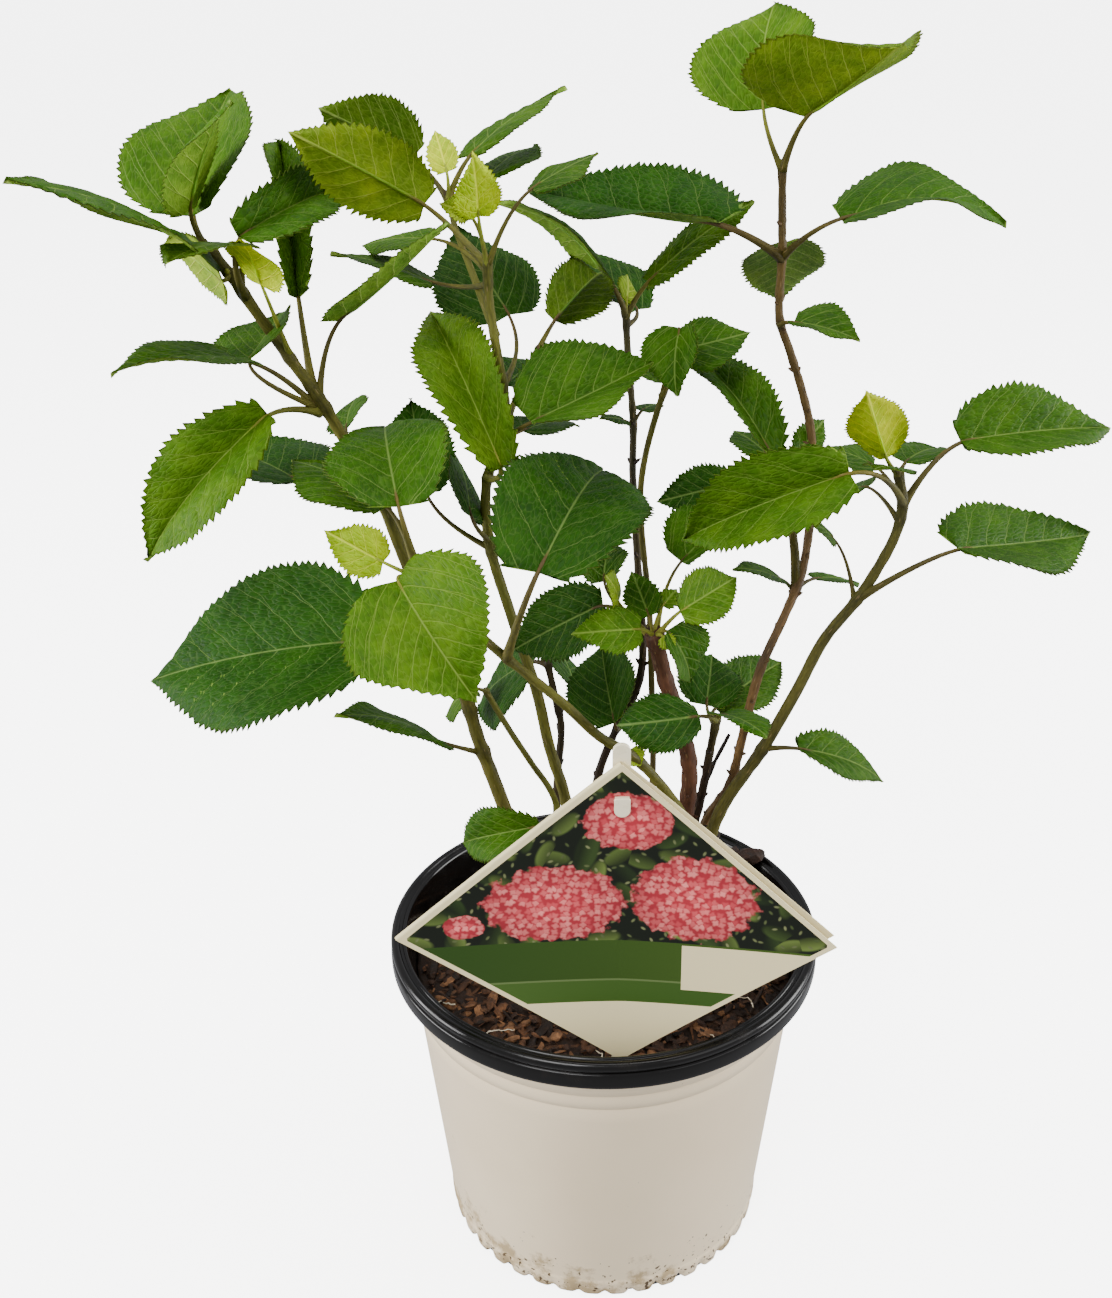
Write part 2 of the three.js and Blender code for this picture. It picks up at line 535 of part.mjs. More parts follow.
// Plant label: a square card folded in two along its upper left edge, stood on its corner.
function plantLabel() {
  const diamond = new THREE.Shape();
  diamond.moveTo(label.centreX, label.apex);
  diamond.lineTo(label.centreX - label.halfWidth, label.middle + label.lean);
  diamond.lineTo(label.centreX, label.foot);
  diamond.lineTo(label.centreX + label.halfWidth, label.middle - label.lean);
  const band = new THREE.Shape();
  const leftCorner = [label.centreX - label.halfWidth, label.middle + label.lean];
  band.moveTo(label.centreX, label.apex);
  band.lineTo(leftCorner[0], leftCorner[1]);
  band.lineTo(leftCorner[0] + label.foldBand, leftCorner[1] - label.foldBand);
  band.lineTo(label.centreX + label.foldBand, label.apex - label.foldBand);
  const through = (shape) => {
    const geometry = new THREE.ExtrudeGeometry(shape, { depth: 60, bevelEnabled: false });
    geometry.rotateX(Math.PI / 2);
    geometry.translate(0, label.y + 25, 0);
    return solid(geometry);
  };
  const bent = (front, back) => {
    const section = new THREE.Shape();
    const wing = label.halfWidth + 2;
    const corners = [[-wing, front - label.wingForward], [0, front], [wing, front - label.wingForward],
      [wing, back - label.wingForward], [0, back], [-wing, back - label.wingForward]];
    section.setFromPoints(corners.map(([x, y]) => new THREE.Vector2(label.centreX + x, label.y + y)));
    const geometry = new THREE.ExtrudeGeometry(section, { depth: 160, bevelEnabled: false });
    geometry.translate(0, 0, 100);
    return solid(geometry);
  };
  const second = label.card + label.leafGap;
  const frontLeaf = bent(0, label.card).intersect(through(diamond));
  const backLeaf = bent(second, second + label.card).intersect(through(diamond));
  const foldedEdge = bent(0, second + label.card).intersect(through(band));
  const slotHeight = 2 + 2 * gap;
  const slot = box(stake.width + 2 * gap, 12, slotHeight, label.centreX, label.y,
    stake.tabTop + gap - slotHeight / 2);
  return piece('plant_label', joinAll([frontLeaf, backLeaf, foldedEdge]).subtract(slot), 0xcf6f68, 0.45);
}

// Label stake: a flat strip with a round head, and a hooked tab through the card's slot.
function labelStake() {
  const half = stake.width / 2;
  const strip = new THREE.Shape();
  strip.moveTo(0, stake.tip);
  strip.lineTo(half, stake.tip + 14);
  strip.absarc(0, stake.top - half, half, 0, Math.PI, false);
  strip.lineTo(-half, stake.tip + 14);
  const back = label.y + 2 * label.card + label.leafGap + gap;
  const upright = new THREE.ExtrudeGeometry(strip, { depth: stake.thickness, bevelEnabled: false,
    curveSegments: 5 });
  upright.rotateX(Math.PI / 2);
  upright.translate(label.centreX, back + stake.thickness, 0);
  const front = label.y - 0.7 - gap;
  const hook = new THREE.Shape();
  const corners = [[back + 0.5, stake.tabTop], [front - 0.9, stake.tabTop],
    [front - 0.9, stake.tabBottom], [front, stake.tabBottom], [front, stake.tabTop - 2],
    [back + 0.5, stake.tabTop - 2]];
  hook.setFromPoints(corners.map(([y, z]) => new THREE.Vector2(y, z)));
  const tab = new THREE.ExtrudeGeometry(hook, { depth: stake.width - 0.6, bevelEnabled: false });
  tab.rotateX(Math.PI / 2);
  tab.rotateZ(Math.PI / 2);
  tab.translate(label.centreX - (stake.width - 0.6) / 2, 0, 0);
  return piece('label_stake', solid(upright).add(solid(tab)), 0xe8e6df, 0.4);
}

const feet = Object.values(stems).map(({ foot, radius }) => ({ at: foot, radius }));
const hydrangea = new THREE.Group();
hydrangea.add(pot());
hydrangea.add(pottingMix(feet));
hydrangea.add(plantLabel());
hydrangea.add(labelStake());
for (const [name, stem] of Object.entries(stems)) {
  hydrangea.add(leafyStem(name, stem, 0x4c7a34));
}

export default hydrangea;
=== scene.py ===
import math
import random
import bpy
import numpy as np
from mathutils import Matrix, Vector, noise
from mathutils.geometry import tessellate_polygon


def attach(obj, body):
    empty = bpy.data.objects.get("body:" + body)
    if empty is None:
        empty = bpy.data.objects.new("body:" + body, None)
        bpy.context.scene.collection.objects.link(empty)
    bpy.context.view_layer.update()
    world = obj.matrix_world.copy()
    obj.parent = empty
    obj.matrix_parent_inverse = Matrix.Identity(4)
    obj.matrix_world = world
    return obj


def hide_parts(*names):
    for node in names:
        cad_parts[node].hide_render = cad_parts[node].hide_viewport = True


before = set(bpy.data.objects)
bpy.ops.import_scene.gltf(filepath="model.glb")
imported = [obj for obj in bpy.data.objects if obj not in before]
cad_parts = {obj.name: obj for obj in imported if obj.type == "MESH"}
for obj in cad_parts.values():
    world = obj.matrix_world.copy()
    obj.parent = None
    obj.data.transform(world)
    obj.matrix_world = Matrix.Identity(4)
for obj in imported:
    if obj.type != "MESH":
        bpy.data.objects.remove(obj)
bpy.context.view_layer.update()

# The studio: a wide pale floor lit from below, large soft lamps above and in front, and the camera that
# looks down on the pot from the front. Sizes in this file are in millimetres until a mesh is made.


def linear(code):
    """The linear colour of an sRGB hex value."""
    shares = [int(code[i:i + 2], 16) / 255 for i in (1, 3, 5)]
    return [s / 12.92 if s <= 0.04045 else ((s + 0.055) / 1.055) ** 2.4 for s in shares] + [1.0]


class Surface:
    """A material, and short calls that each add one of its nodes."""

    def __init__(self, name, **finish):
        self.material = bpy.data.materials.new(name)
        self.material.use_nodes = True
        self.finish(**finish)

    def fill(self, node, inputs):
        """Sets a node's inputs, each to a value, a hex colour, an output, or a node with one live output."""
        for name, value in inputs.items():
            if isinstance(value, bpy.types.Node):
                value = next(output for output in value.outputs if output.enabled)
            if isinstance(value, bpy.types.NodeSocket):
                self.material.node_tree.links.new(value, node.inputs[name])
            else:
                node.inputs[name].default_value = linear(value) if isinstance(value, str) else value

    def finish(self, **inputs):
        """Sets inputs of the shader, with _ for the spaces in their names."""
        shader = self.material.node_tree.nodes["Principled BSDF"]
        self.fill(shader, {name.replace("_", " "): value for name, value in inputs.items()})

    def add(self, kind, inputs, **settings):
        node = self.material.node_tree.nodes.new("ShaderNode" + kind)
        for name, value in settings.items():
            setattr(node, name, value)
        self.fill(node, inputs)
        return node

    def place(self):
        """The place on the object, in metres."""
        return self.add("TexCoord", {}).outputs["Object"]

    def attribute(self, name, output="Color"):
        return self.add("Attribute", {}, attribute_name=name).outputs[output]

    def parts(self, vector):
        return self.add("SeparateXYZ", {0: vector}).outputs

    def cloud(self, place, scale, **more):
        return self.add("TexNoise", {"Vector": place, "Scale": scale, **more})

    def cells(self, place, scale, randomness):
        inputs = {"Vector": place, "Scale": scale, "Randomness": randomness}
        return self.add("TexVoronoi", inputs, voronoi_dimensions="2D").outputs

    def maths(self, operation, *values):
        return self.add("Math", dict(enumerate(values)), operation=operation)

    def vector(self, operation, *values):
        return self.add("VectorMath", dict(enumerate(values)), operation=operation)

    def ramp(self, value, start, end, low, high, smooth=False):
        """Takes a value from between start and end to between low and high, and no further."""
        node = self.add("MapRange", dict(enumerate((value, start, end, low, high))))
        node.interpolation_type = "SMOOTHSTEP" if smooth else "LINEAR"
        return node

    def blend(self, share, first, second):
        return self.add("Mix", {0: share, 6: first, 7: second}, data_type="RGBA")

    def bump(self, height, strength, distance):
        return self.add("Bump", {"Height": height, "Strength": strength, "Distance": distance})


def new_mesh(name, points, faces, surface, smooth=True):
    """An object from points in millimetres and the corners of its faces."""
    mesh = bpy.data.meshes.new(name)
    mesh.from_pydata((np.asarray(points, float) * 0.001).tolist(), [], faces)
    mesh.materials.append(surface.material)
    mesh.polygons.foreach_set("use_smooth", [smooth] * len(mesh.polygons))
    made = bpy.data.objects.new(name, mesh)
    bpy.context.collection.objects.link(made)
    return made


# Opal acrylic sheet, matt, lit from below: an even white without a horizon. Its glow is for the eye
# alone, so that it neither bleaches the leaves nor shows in the pot's rim.
opal_floor = Surface("opal_acrylic_light_table", Roughness=0.9, Base_Color="#f4f4f2",
                     Emission_Strength=5.0, Emission_Color="#ffffff")
floor_reach = 30000
floor = new_mesh("floor", [(x * floor_reach, y * floor_reach, -0.2)
                           for x, y in ((-1, -1), (1, -1), (1, 1), (-1, 1))], [(0, 1, 2, 3)], opal_floor)
floor.visible_diffuse = False
floor.visible_glossy = False

sky = bpy.data.worlds.new("studio_white")
sky.use_nodes = True
sky.node_tree.nodes["Background"].inputs["Color"].default_value = linear("#fafbff")
sky.node_tree.nodes["Background"].inputs["Strength"].default_value = 0.72
bpy.context.scene.world = sky

for name, place, size, watts in (
        ("lamp_key", (-0.8, -1.4, 1.7), 1.0, 40),
        ("lamp_fill", (1.3, -1.1, 1.0), 1.2, 8),
        ("lamp_left", (-1.7, -0.05, 0.35), 1.0, 48),
        ("lamp_right", (1.7, 0.05, 0.4), 1.0, 40),
        ("lamp_top", (0.1, 0.3, 1.9), 1.2, 22)):
    lamp = bpy.data.lights.new(name, "AREA")
    lamp.size = size
    lamp.energy = watts
    made = bpy.data.objects.new(name, lamp)
    made.location = place
    made.rotation_euler = (Vector((0, 0, 0.25)) - Vector(place)).to_track_quat("-Z", "Y").to_euler()
    bpy.context.collection.objects.link(made)

pitch, yaw, tilt = (math.radians(angle) for angle in (26.0, 0.95, -0.88))
focal_length, frame_height = 1500, 1298  # both in pixels
sensor = 36
ahead = Vector((math.sin(yaw) * math.cos(pitch), math.cos(yaw) * math.cos(pitch), -math.sin(pitch)))
level_right = ahead.cross(Vector((0, 0, 1))).normalized()
level_up = level_right.cross(ahead)
right = math.cos(tilt) * level_right + math.sin(tilt) * level_up
up = math.cos(tilt) * level_up - math.sin(tilt) * level_right
view = bpy.data.objects.new("camera", bpy.data.cameras.new("camera"))
view.data.lens = sensor * focal_length / frame_height
view.data.clip_start = 0.01
place = (-0.025, -0.487, 0.492)
view.matrix_world = Matrix([(right[i], up[i], -ahead[i], place[i]) for i in range(3)] + [(0, 0, 0, 1)])
bpy.context.collection.objects.link(view)
bpy.context.scene.camera = view

# The pot: one injection moulded polypropylene shell, black inside with a rolled rim, and an off-white
# printed skin outside. A ring of small scallops at its foot lifts it, and six holes let water out.
pot_height = 134
rim_foot = 123.2
foot_band = 8
foot_radius = 64.8
skin_top_radius = 76.4
skin = 0.7
wall = 1.4
pot_floor = 1.8
ring_level = 112
plate_radius = 63
hole_ring, hole_radius = 47, 5
scallops = 39
pot_turns = scallops * 12


def wall_radius(z):
    return foot_radius + (skin_top_radius - foot_radius) * (z - foot_band) / (rim_foot - foot_band)


def around(count):
    """Even angles round a circle."""
    return np.arange(count) * 2 * np.pi / count


def circle(radius, angles, z=0, x=0, y=0):
    return [(x + radius * math.cos(a), y + radius * math.sin(a), z) for a in angles]


def turned(profile, turns, change=None):
    """Points and faces of a closed profile of (radius, height) pairs turned about the pot's axis."""
    profile = np.array(profile, float)
    angles = around(turns)
    radius = np.repeat(profile[:, 0][None], turns, 0)
    height = np.repeat(profile[:, 1][None], turns, 0)
    if change:
        radius, height = change(radius, height, angles[:, None])
    points = np.stack([radius * np.cos(angles)[:, None], radius * np.sin(angles)[:, None], height], 2)
    rows = len(profile)
    faces = []
    for i in range(turns):
        for j in range(rows):
            a, b = i * rows + j, i * rows + (j + 1) % rows
            c, d = (i + 1) % turns * rows + (j + 1) % rows, (i + 1) % turns * rows + j
            faces.append((a, d, c, b))
    return points.reshape(-1, 3), faces


def sleeve(rings, sides, first=0):
    """Four-cornered faces between each ring of points and the next."""
    return [(first + k * sides + m, first + k * sides + (m + 1) % sides,
             first + (k + 1) * sides + (m + 1) % sides, first + (k + 1) * sides + m)
            for k in range(rings - 1) for m in range(sides)]


def rounded(points, times):
    """An open line with its corners cut, so that it turns as a moulding does."""
    points = np.array(points, float)
    for _ in range(times):
        early = points[:-1] * 0.75 + points[1:] * 0.25
        late = points[:-1] * 0.25 + points[1:] * 0.75
        points = np.vstack([points[:1], np.stack([early, late], 1).reshape(-1, 2), points[-1:]])
    return points.tolist()


def scalloped(radius, height, angles):
    """Draws the foot in and up between the scallops."""
    notch = np.abs(np.cos(angles * scallops / 2)) ** 7 * (0.8 + 0.3 * np.sin(angles * 5 + 1))
    low = np.clip(1 - height / foot_band, 0, 1)
    return radius - 1.1 * notch * low, height + 2.2 * notch * low


# Moulded polypropylene, off-white: satin, faintly uneven, with dried soil and scuffs near the foot.
printed_skin = Surface("moulded_off_white_polypropylene", IOR=1.49)
place = printed_skin.place()
axes = printed_skin.parts(place)
cloudy = printed_skin.cloud(place, 1 / 0.05, Detail=3.0)
plain = printed_skin.blend(cloudy, "#dbc6a4", "#ecd9b8")
blotches = printed_skin.cloud(place, 1 / 0.012, Detail=6.0, Roughness=0.7)
low_down = printed_skin.ramp(axes[2], 0.034, 0.002, -0.16, 0.17)
soiled = printed_skin.maths("ADD", blotches, low_down)
left_side = printed_skin.ramp(axes[0], 0.04, -0.05, -0.04, 0.07)
soiled = printed_skin.maths("ADD", soiled, left_side)
stained = printed_skin.ramp(soiled, 0.56, 0.74, 0.0, 0.75, smooth=True)
dirty = printed_skin.blend(stained, plain, "#8c7446")
specks = printed_skin.cloud(place, 1 / 0.0022, Detail=2.0)
speck_limit = printed_skin.ramp(low_down, -0.16, 0.16, 0.8, 0.62)
speckled = printed_skin.maths("GREATER_THAN", specks, speck_limit)
finished = printed_skin.blend(speckled, dirty, "#4c3a20")
rough = printed_skin.ramp(stained, 0.0, 0.75, 0.36, 0.7)
orange_peel = printed_skin.cloud(place, 1 / 0.003)
waviness = printed_skin.bump(orange_peel, 0.12, 0.0003)
printed_skin.finish(Base_Color=finished, Roughness=rough, Normal=waviness)

# Moulded polypropylene, black: a soft gloss with a little dust.
black_shell = Surface("moulded_black_polypropylene", IOR=1.49, Specular_IOR_Level=0.28)
place = black_shell.place()
dust = black_shell.cloud(place, 1 / 0.009, Detail=5.0)
dusty = black_shell.ramp(dust, 0.55, 0.8, 0.0, 0.3)
tint = black_shell.blend(dusty, "#070605", "#241d16")
rough = black_shell.ramp(dust, 0.3, 0.75, 0.1, 0.32)
black_shell.finish(Base_Color=tint, Roughness=rough)

outside = [(foot_radius - 0.9, 0), (foot_radius - 0.35, 0.35), (foot_radius - 0.2, 1.2), (foot_radius, 2.4),
           (foot_radius + 0.15, 4), (foot_radius + 0.3, 5.6), (foot_radius + 0.35, foot_band - 0.7),
           (foot_radius + 0.1, foot_band - 0.2), (foot_radius + 0.05, foot_band + 0.3),
           (wall_radius(foot_band + 1), foot_band + 1)]
outside += [(wall_radius(z), z) for z in (14, 24, 38, 54, 70, 86, 98)]
for ring in (ring_level - 6.5, ring_level):
    outside += [(wall_radius(ring - 0.9), ring - 0.9), (wall_radius(ring) - 0.4, ring - 0.3),
                (wall_radius(ring) - 0.3, ring + 0.2), (wall_radius(ring) + 0.35, ring + 0.7)]
outside += [(wall_radius(118) + 0.25, 118), (skin_top_radius, rim_foot + 0.4)]
inside = [(wall_radius(z) - skin, z) for z in (rim_foot + 0.4, 100, 60, 30, foot_band)]
inside += [(foot_radius - 1.6, 3), (foot_radius - 1.9, 0.4)]
points, faces = turned(outside + inside, pot_turns, scalloped)
pot_skin = new_mesh("pot_printed_skin", points, faces, printed_skin)
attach(pot_skin, "root")
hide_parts("pot")

rolled_rim = rounded([
    (skin_top_radius - 0.3, rim_foot - 0.2), (82.6, rim_foot - 0.3), (83.9, rim_foot + 0.3),
    (84, rim_foot + 3), (83.9, rim_foot + 6), (83.2, rim_foot + 6.6), (82.4, rim_foot + 7),
    (83.1, rim_foot + 7.5), (83.8, rim_foot + 8.2), (83.7, rim_foot + 9.8), (82.6, pot_height),
    (81.2, pot_height), (80.4, pot_height - 1.1), (79.6, pot_height - 1.1), (79, pot_height - 0.4),
    (77.9, pot_height - 0.7), (77.3, pot_height - 2.6),
    (wall_radius(ring_level + 9) - wall, ring_level + 9)], 3)
outer = [(wall_radius(z) - skin, z) for z in (2, 20, 60, 100, rim_foot - 0.4)]
inner = [(wall_radius(z) - wall, z) for z in (ring_level, 80, 40, 12, 2)]
points, faces = turned(outer + rolled_rim + inner, 240)
pot_body = new_mesh("pot_black_shell", points, faces, black_shell)
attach(pot_body, "root")
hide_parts("pot")

# The plate under the mix closes the shell, round six drain holes.
loops = [circle(plate_radius, around(120))]
for hole in range(6):
    middle = (hole + 0.5) * math.pi / 3
    loops.append(circle(hole_radius, -around(24), x=hole_ring * math.cos(middle),
                        y=hole_ring * math.sin(middle)))
flat = [point for loop in loops for point in loop]
plate = [(x, y, z) for z in (pot_floor, 0.7) for x, y, _ in flat]
faces = []
for a, b, c in tessellate_polygon([[Vector(point) for point in loop] for loop in loops]):
    (ax, ay, _), (bx, by, _), (cx, cy, _) = flat[a], flat[b], flat[c]
    if (bx - ax) * (cy - ay) - (by - ay) * (cx - ax) < 0:
        b, c = c, b
    faces += [(a, b, c), (a + len(flat), c + len(flat), b + len(flat))]
start = 0
for loop in loops:
    for i in range(len(loop)):
        a, b = start + i, start + (i + 1) % len(loop)
        faces.append((a, a + len(flat), b + len(flat), b))
    start += len(loop)
pot_plate = new_mesh("pot_floor_plate", plate, faces, black_shell, smooth=False)
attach(pot_plate, "root")
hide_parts("pot")

# The potting mix: damp shredded pine bark and peat that fills the pot to below its rim, a crumbly bed
# under loose chips, thin splinters and a few pale root threads.
soil_top = 118.5
bed_rings = 46
bed_turns = 150


def soil_level(x, y):
    """The bed's height at a place: low heaps with crumbs on them."""
    heaps = noise.noise(Vector((x / 26, y / 26, 3))) * 1.6
    crumbs = noise.noise(Vector((x / 5, y / 5, 8))) * 1.1 + noise.noise(Vector((x / 2.1, y / 2.1, 1))) * 0.7
    return soil_top + heaps + crumbs


# Damp bark and peat: dark brown with lighter broken faces, dull, with a little wet gloss.
damp_bark = Surface("damp_pine_bark", IOR=1.45, Specular_IOR_Level=0.3)
place = damp_bark.place()
chip_tint = damp_bark.attribute("chip_tint")
fibres = damp_bark.cloud(place, 1 / 0.0035, Detail=5.0, Roughness=0.65)
shade = damp_bark.ramp(fibres, 0.3, 0.75, 0.45, 2.4)
toned = damp_bark.vector("MULTIPLY", chip_tint, shade)
rough = damp_bark.ramp(fibres, 0.3, 0.7, 0.5, 0.95)
grain = damp_bark.bump(fibres, 0.8, 0.0012)
damp_bark.finish(Base_Color=toned, Roughness=rough, Normal=grain)


def rgb(code):
    """The linear colour of an sRGB hex value as three numbers, which can be scaled and mixed."""
    return np.array(linear(code)[:3])


def paint(piece, name, values, kind="FLOAT_COLOR"):
    """Keeps a colour, or three numbers, for each point of a mesh."""
    held = piece.data.attributes.new(name, kind, "POINT")
    values = np.asarray(values, np.float32)
    if kind == "FLOAT_COLOR":
        values = np.hstack([values[:, :3], np.ones((len(values), 1), np.float32)])
        held.data.foreach_set("color", values.ravel())
    else:
        held.data.foreach_set("vector", values.ravel())


def mix_radius(z):
    return wall_radius(z) - wall - 0.4


bed_radius = mix_radius(soil_top)
bed_angles = around(bed_turns)
points = [(0, 0, pot_floor + 0.4)]
for radius, z in ((foot_radius - 3, pot_floor + 0.4), (mix_radius(60), 60), (mix_radius(105), 105)):
    points += circle(radius, bed_angles, z)
for ring in range(bed_rings, 0, -1):
    for a in bed_angles:
        x, y = bed_radius * ring / bed_rings * math.cos(a), bed_radius * ring / bed_rings * math.sin(a)
        points.append((x, y, soil_level(x, y)))
points.append((0, 0, soil_level(0, 0)))
faces = []
for i in range(bed_turns):
    j = (i + 1) % bed_turns
    faces.append((0, 1 + j, 1 + i))
    for row in range(bed_rings + 2):
        low, high = 1 + row * bed_turns, 1 + (row + 1) * bed_turns
        faces.append((low + i, low + j, high + j, high + i))
    last = 1 + (bed_rings + 2) * bed_turns
    faces.append((last + i, last + j, len(points) - 1))
bed = new_mesh("potting_mix_bed", points, faces, damp_bark)
paint(bed, "chip_tint", [rgb("#22160f")] * len(points))
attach(bed, "root")
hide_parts("potting_mix")

draw = random.Random(11)
chip_colours = ["#2a1b12", "#3a2517", "#4a301e", "#1a110b", "#65462e", "#2e1e15", "#402b1c", "#20150e"]
points, faces, tints = [], [], []


def splinter(middle, length, width, thickness, turn, pitch, colour):
    """One broken piece of bark: five uneven rings and two blunt ends."""
    run = np.array([math.cos(turn) * math.cos(pitch), math.sin(turn) * math.cos(pitch), math.sin(pitch)])
    across = np.array([-math.sin(turn), math.cos(turn), 0.0])
    above = np.cross(run, across)
    first = len(points)
    for k, t in enumerate((-0.5, -0.3, 0.0, 0.28, 0.5)):
        swell = (0.45, 0.95, 1.0, 0.9, 0.4)[k] * draw.uniform(0.75, 1.1)
        drift = draw.uniform(-0.12, 0.12) * width
        for m in range(6):
            angle = m * math.pi / 3 + 0.3
            reach = draw.uniform(0.72, 1.12) * swell
            points.append(middle + run * (t * length + draw.uniform(-0.05, 0.05) * length)
                          + across * (math.cos(angle) * width / 2 * reach + drift)
                          + above * (math.sin(angle) * thickness / 2 * reach))
            tints.append(rgb(colour) * draw.uniform(0.8, 1.25))
    faces.extend(sleeve(5, 6, first))
    faces.append(tuple(first + m for m in (5, 4, 3, 2, 1, 0)))
    faces.append(tuple(first + 24 + m for m in range(6)))


# Each line of sizes: how many, their lengths, and width to length.
for count, lengths, slim in (
        (1500, (2, 5), 0.6), (700, (4, 9), 0.5), (90, (9, 14), 0.42), (420, (5, 15), 0.1)):
    for _ in range(count):
        angle, reach = draw.uniform(0, 2 * math.pi), (bed_radius - 3) * math.sqrt(draw.random())
        length = draw.uniform(*lengths)
        width = length * slim * draw.uniform(0.7, 1.3)
        reach = min(reach, bed_radius - length / 2 - 0.5)
        x, y = reach * math.cos(angle), reach * math.sin(angle)
        lift = draw.uniform(-0.4, 1.9)
        splinter(np.array([x, y, soil_level(x, y) + lift]), length, width, width * draw.uniform(0.35, 0.75),
                 draw.uniform(0, 2 * math.pi), draw.gauss(0, 0.24), draw.choice(chip_colours))
# Larger lumps lean on the rim behind, right of the stems.
for x, y, z, length in ((63, 41, 134, 15), (59, 44, 131, 13), (54, 47, 126, 16), (48, 52, 123, 12)):
    splinter(np.array([x, y, z]), length, length * 0.62, length * 0.5, draw.uniform(0, 3), 0.35, "#22150e")
chips = new_mesh("potting_mix_chips", points, faces, damp_bark, smooth=False)
paint(chips, "chip_tint", tints)
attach(chips, "root")
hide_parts("potting_mix")


def join(made, corners):
    """Adds a separate piece to the points and faces that are being gathered."""
    faces.extend(tuple(c + len(points) for c in corner) for corner in corners)
    points.extend(made)


def unit(vector):
    return vector / np.linalg.norm(vector)


def runs_along(line):
    """How far along a line each of its points is."""
    return np.concatenate([[0], np.cumsum(np.linalg.norm(np.diff(line, axis=0), axis=1))])


def uneven_along(line, step, row, layer):
    """A smooth random number for each point of a line."""
    return np.array([noise.noise(Vector((k * step, row, layer))) for k in range(len(line))])


def tube(centres, radii, sides):
    """Points, faces and each point's angle round a tube along a line, closed at both ends."""
    centres = np.array(centres, float)
    count = len(centres)
    radii = np.broadcast_to(np.asarray(radii, float), (count,))
    heads = np.gradient(centres, axis=0)
    heads /= np.linalg.norm(heads, axis=1)[:, None]
    side = unit(np.cross(heads[0], (0.3, 0.9, 0.2)))
    angles = around(sides)
    made = []
    for centre, head, radius in zip(centres, heads, radii):
        side = unit(side - head * (side @ head))
        other = np.cross(head, side)
        made.append(centre + radius * (np.cos(angles)[:, None] * side + np.sin(angles)[:, None] * other))
    made = np.vstack(made + [centres[:1], centres[-1:]])
    corners = sleeve(count, sides)
    for m in range(sides):
        corners.append((count * sides, (m + 1) % sides, m))
        corners.append((count * sides + 1, (count - 1) * sides + m, (count - 1) * sides + (m + 1) % sides))
    return made, corners, np.concatenate([np.tile(angles, count), [0, 0]])


# Root threads: living root tips, off-white, thin and limp, lying on the bark.
root_thread = Surface("living_root", Roughness=0.6, IOR=1.4)
place = root_thread.place()
patchy = root_thread.cloud(place, 1 / 0.004)
tint = root_thread.blend(patchy, "#b9a37e", "#f1e9d8")
root_thread.finish(Base_Color=tint)
points, faces = [], []
for x, y in ((-6, -68), (-3, -70), (-9, -70), (-58, -32), (-46, -50), (38, -60), (-60, 22), (55, -38)):
    line, heading = [], draw.uniform(0, 2 * math.pi)
    for _ in range(14):
        line.append((x, y, soil_level(x, y) + 2.4 + draw.uniform(-0.3, 0.5)))
        heading += draw.gauss(0, 0.45)
        x, y = x + 0.9 * math.cos(heading), y + 0.9 * math.sin(heading)
        if math.hypot(x, y) > bed_radius - 1:
            heading += math.pi / 2
            x, y = x * 0.985, y * 0.985
    join(*tube(line, np.linspace(0.3, 0.12, len(line)), 6)[:2])
roots = new_mesh("potting_mix_root_threads", points, faces, root_thread)
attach(roots, "root")
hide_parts("potting_mix")

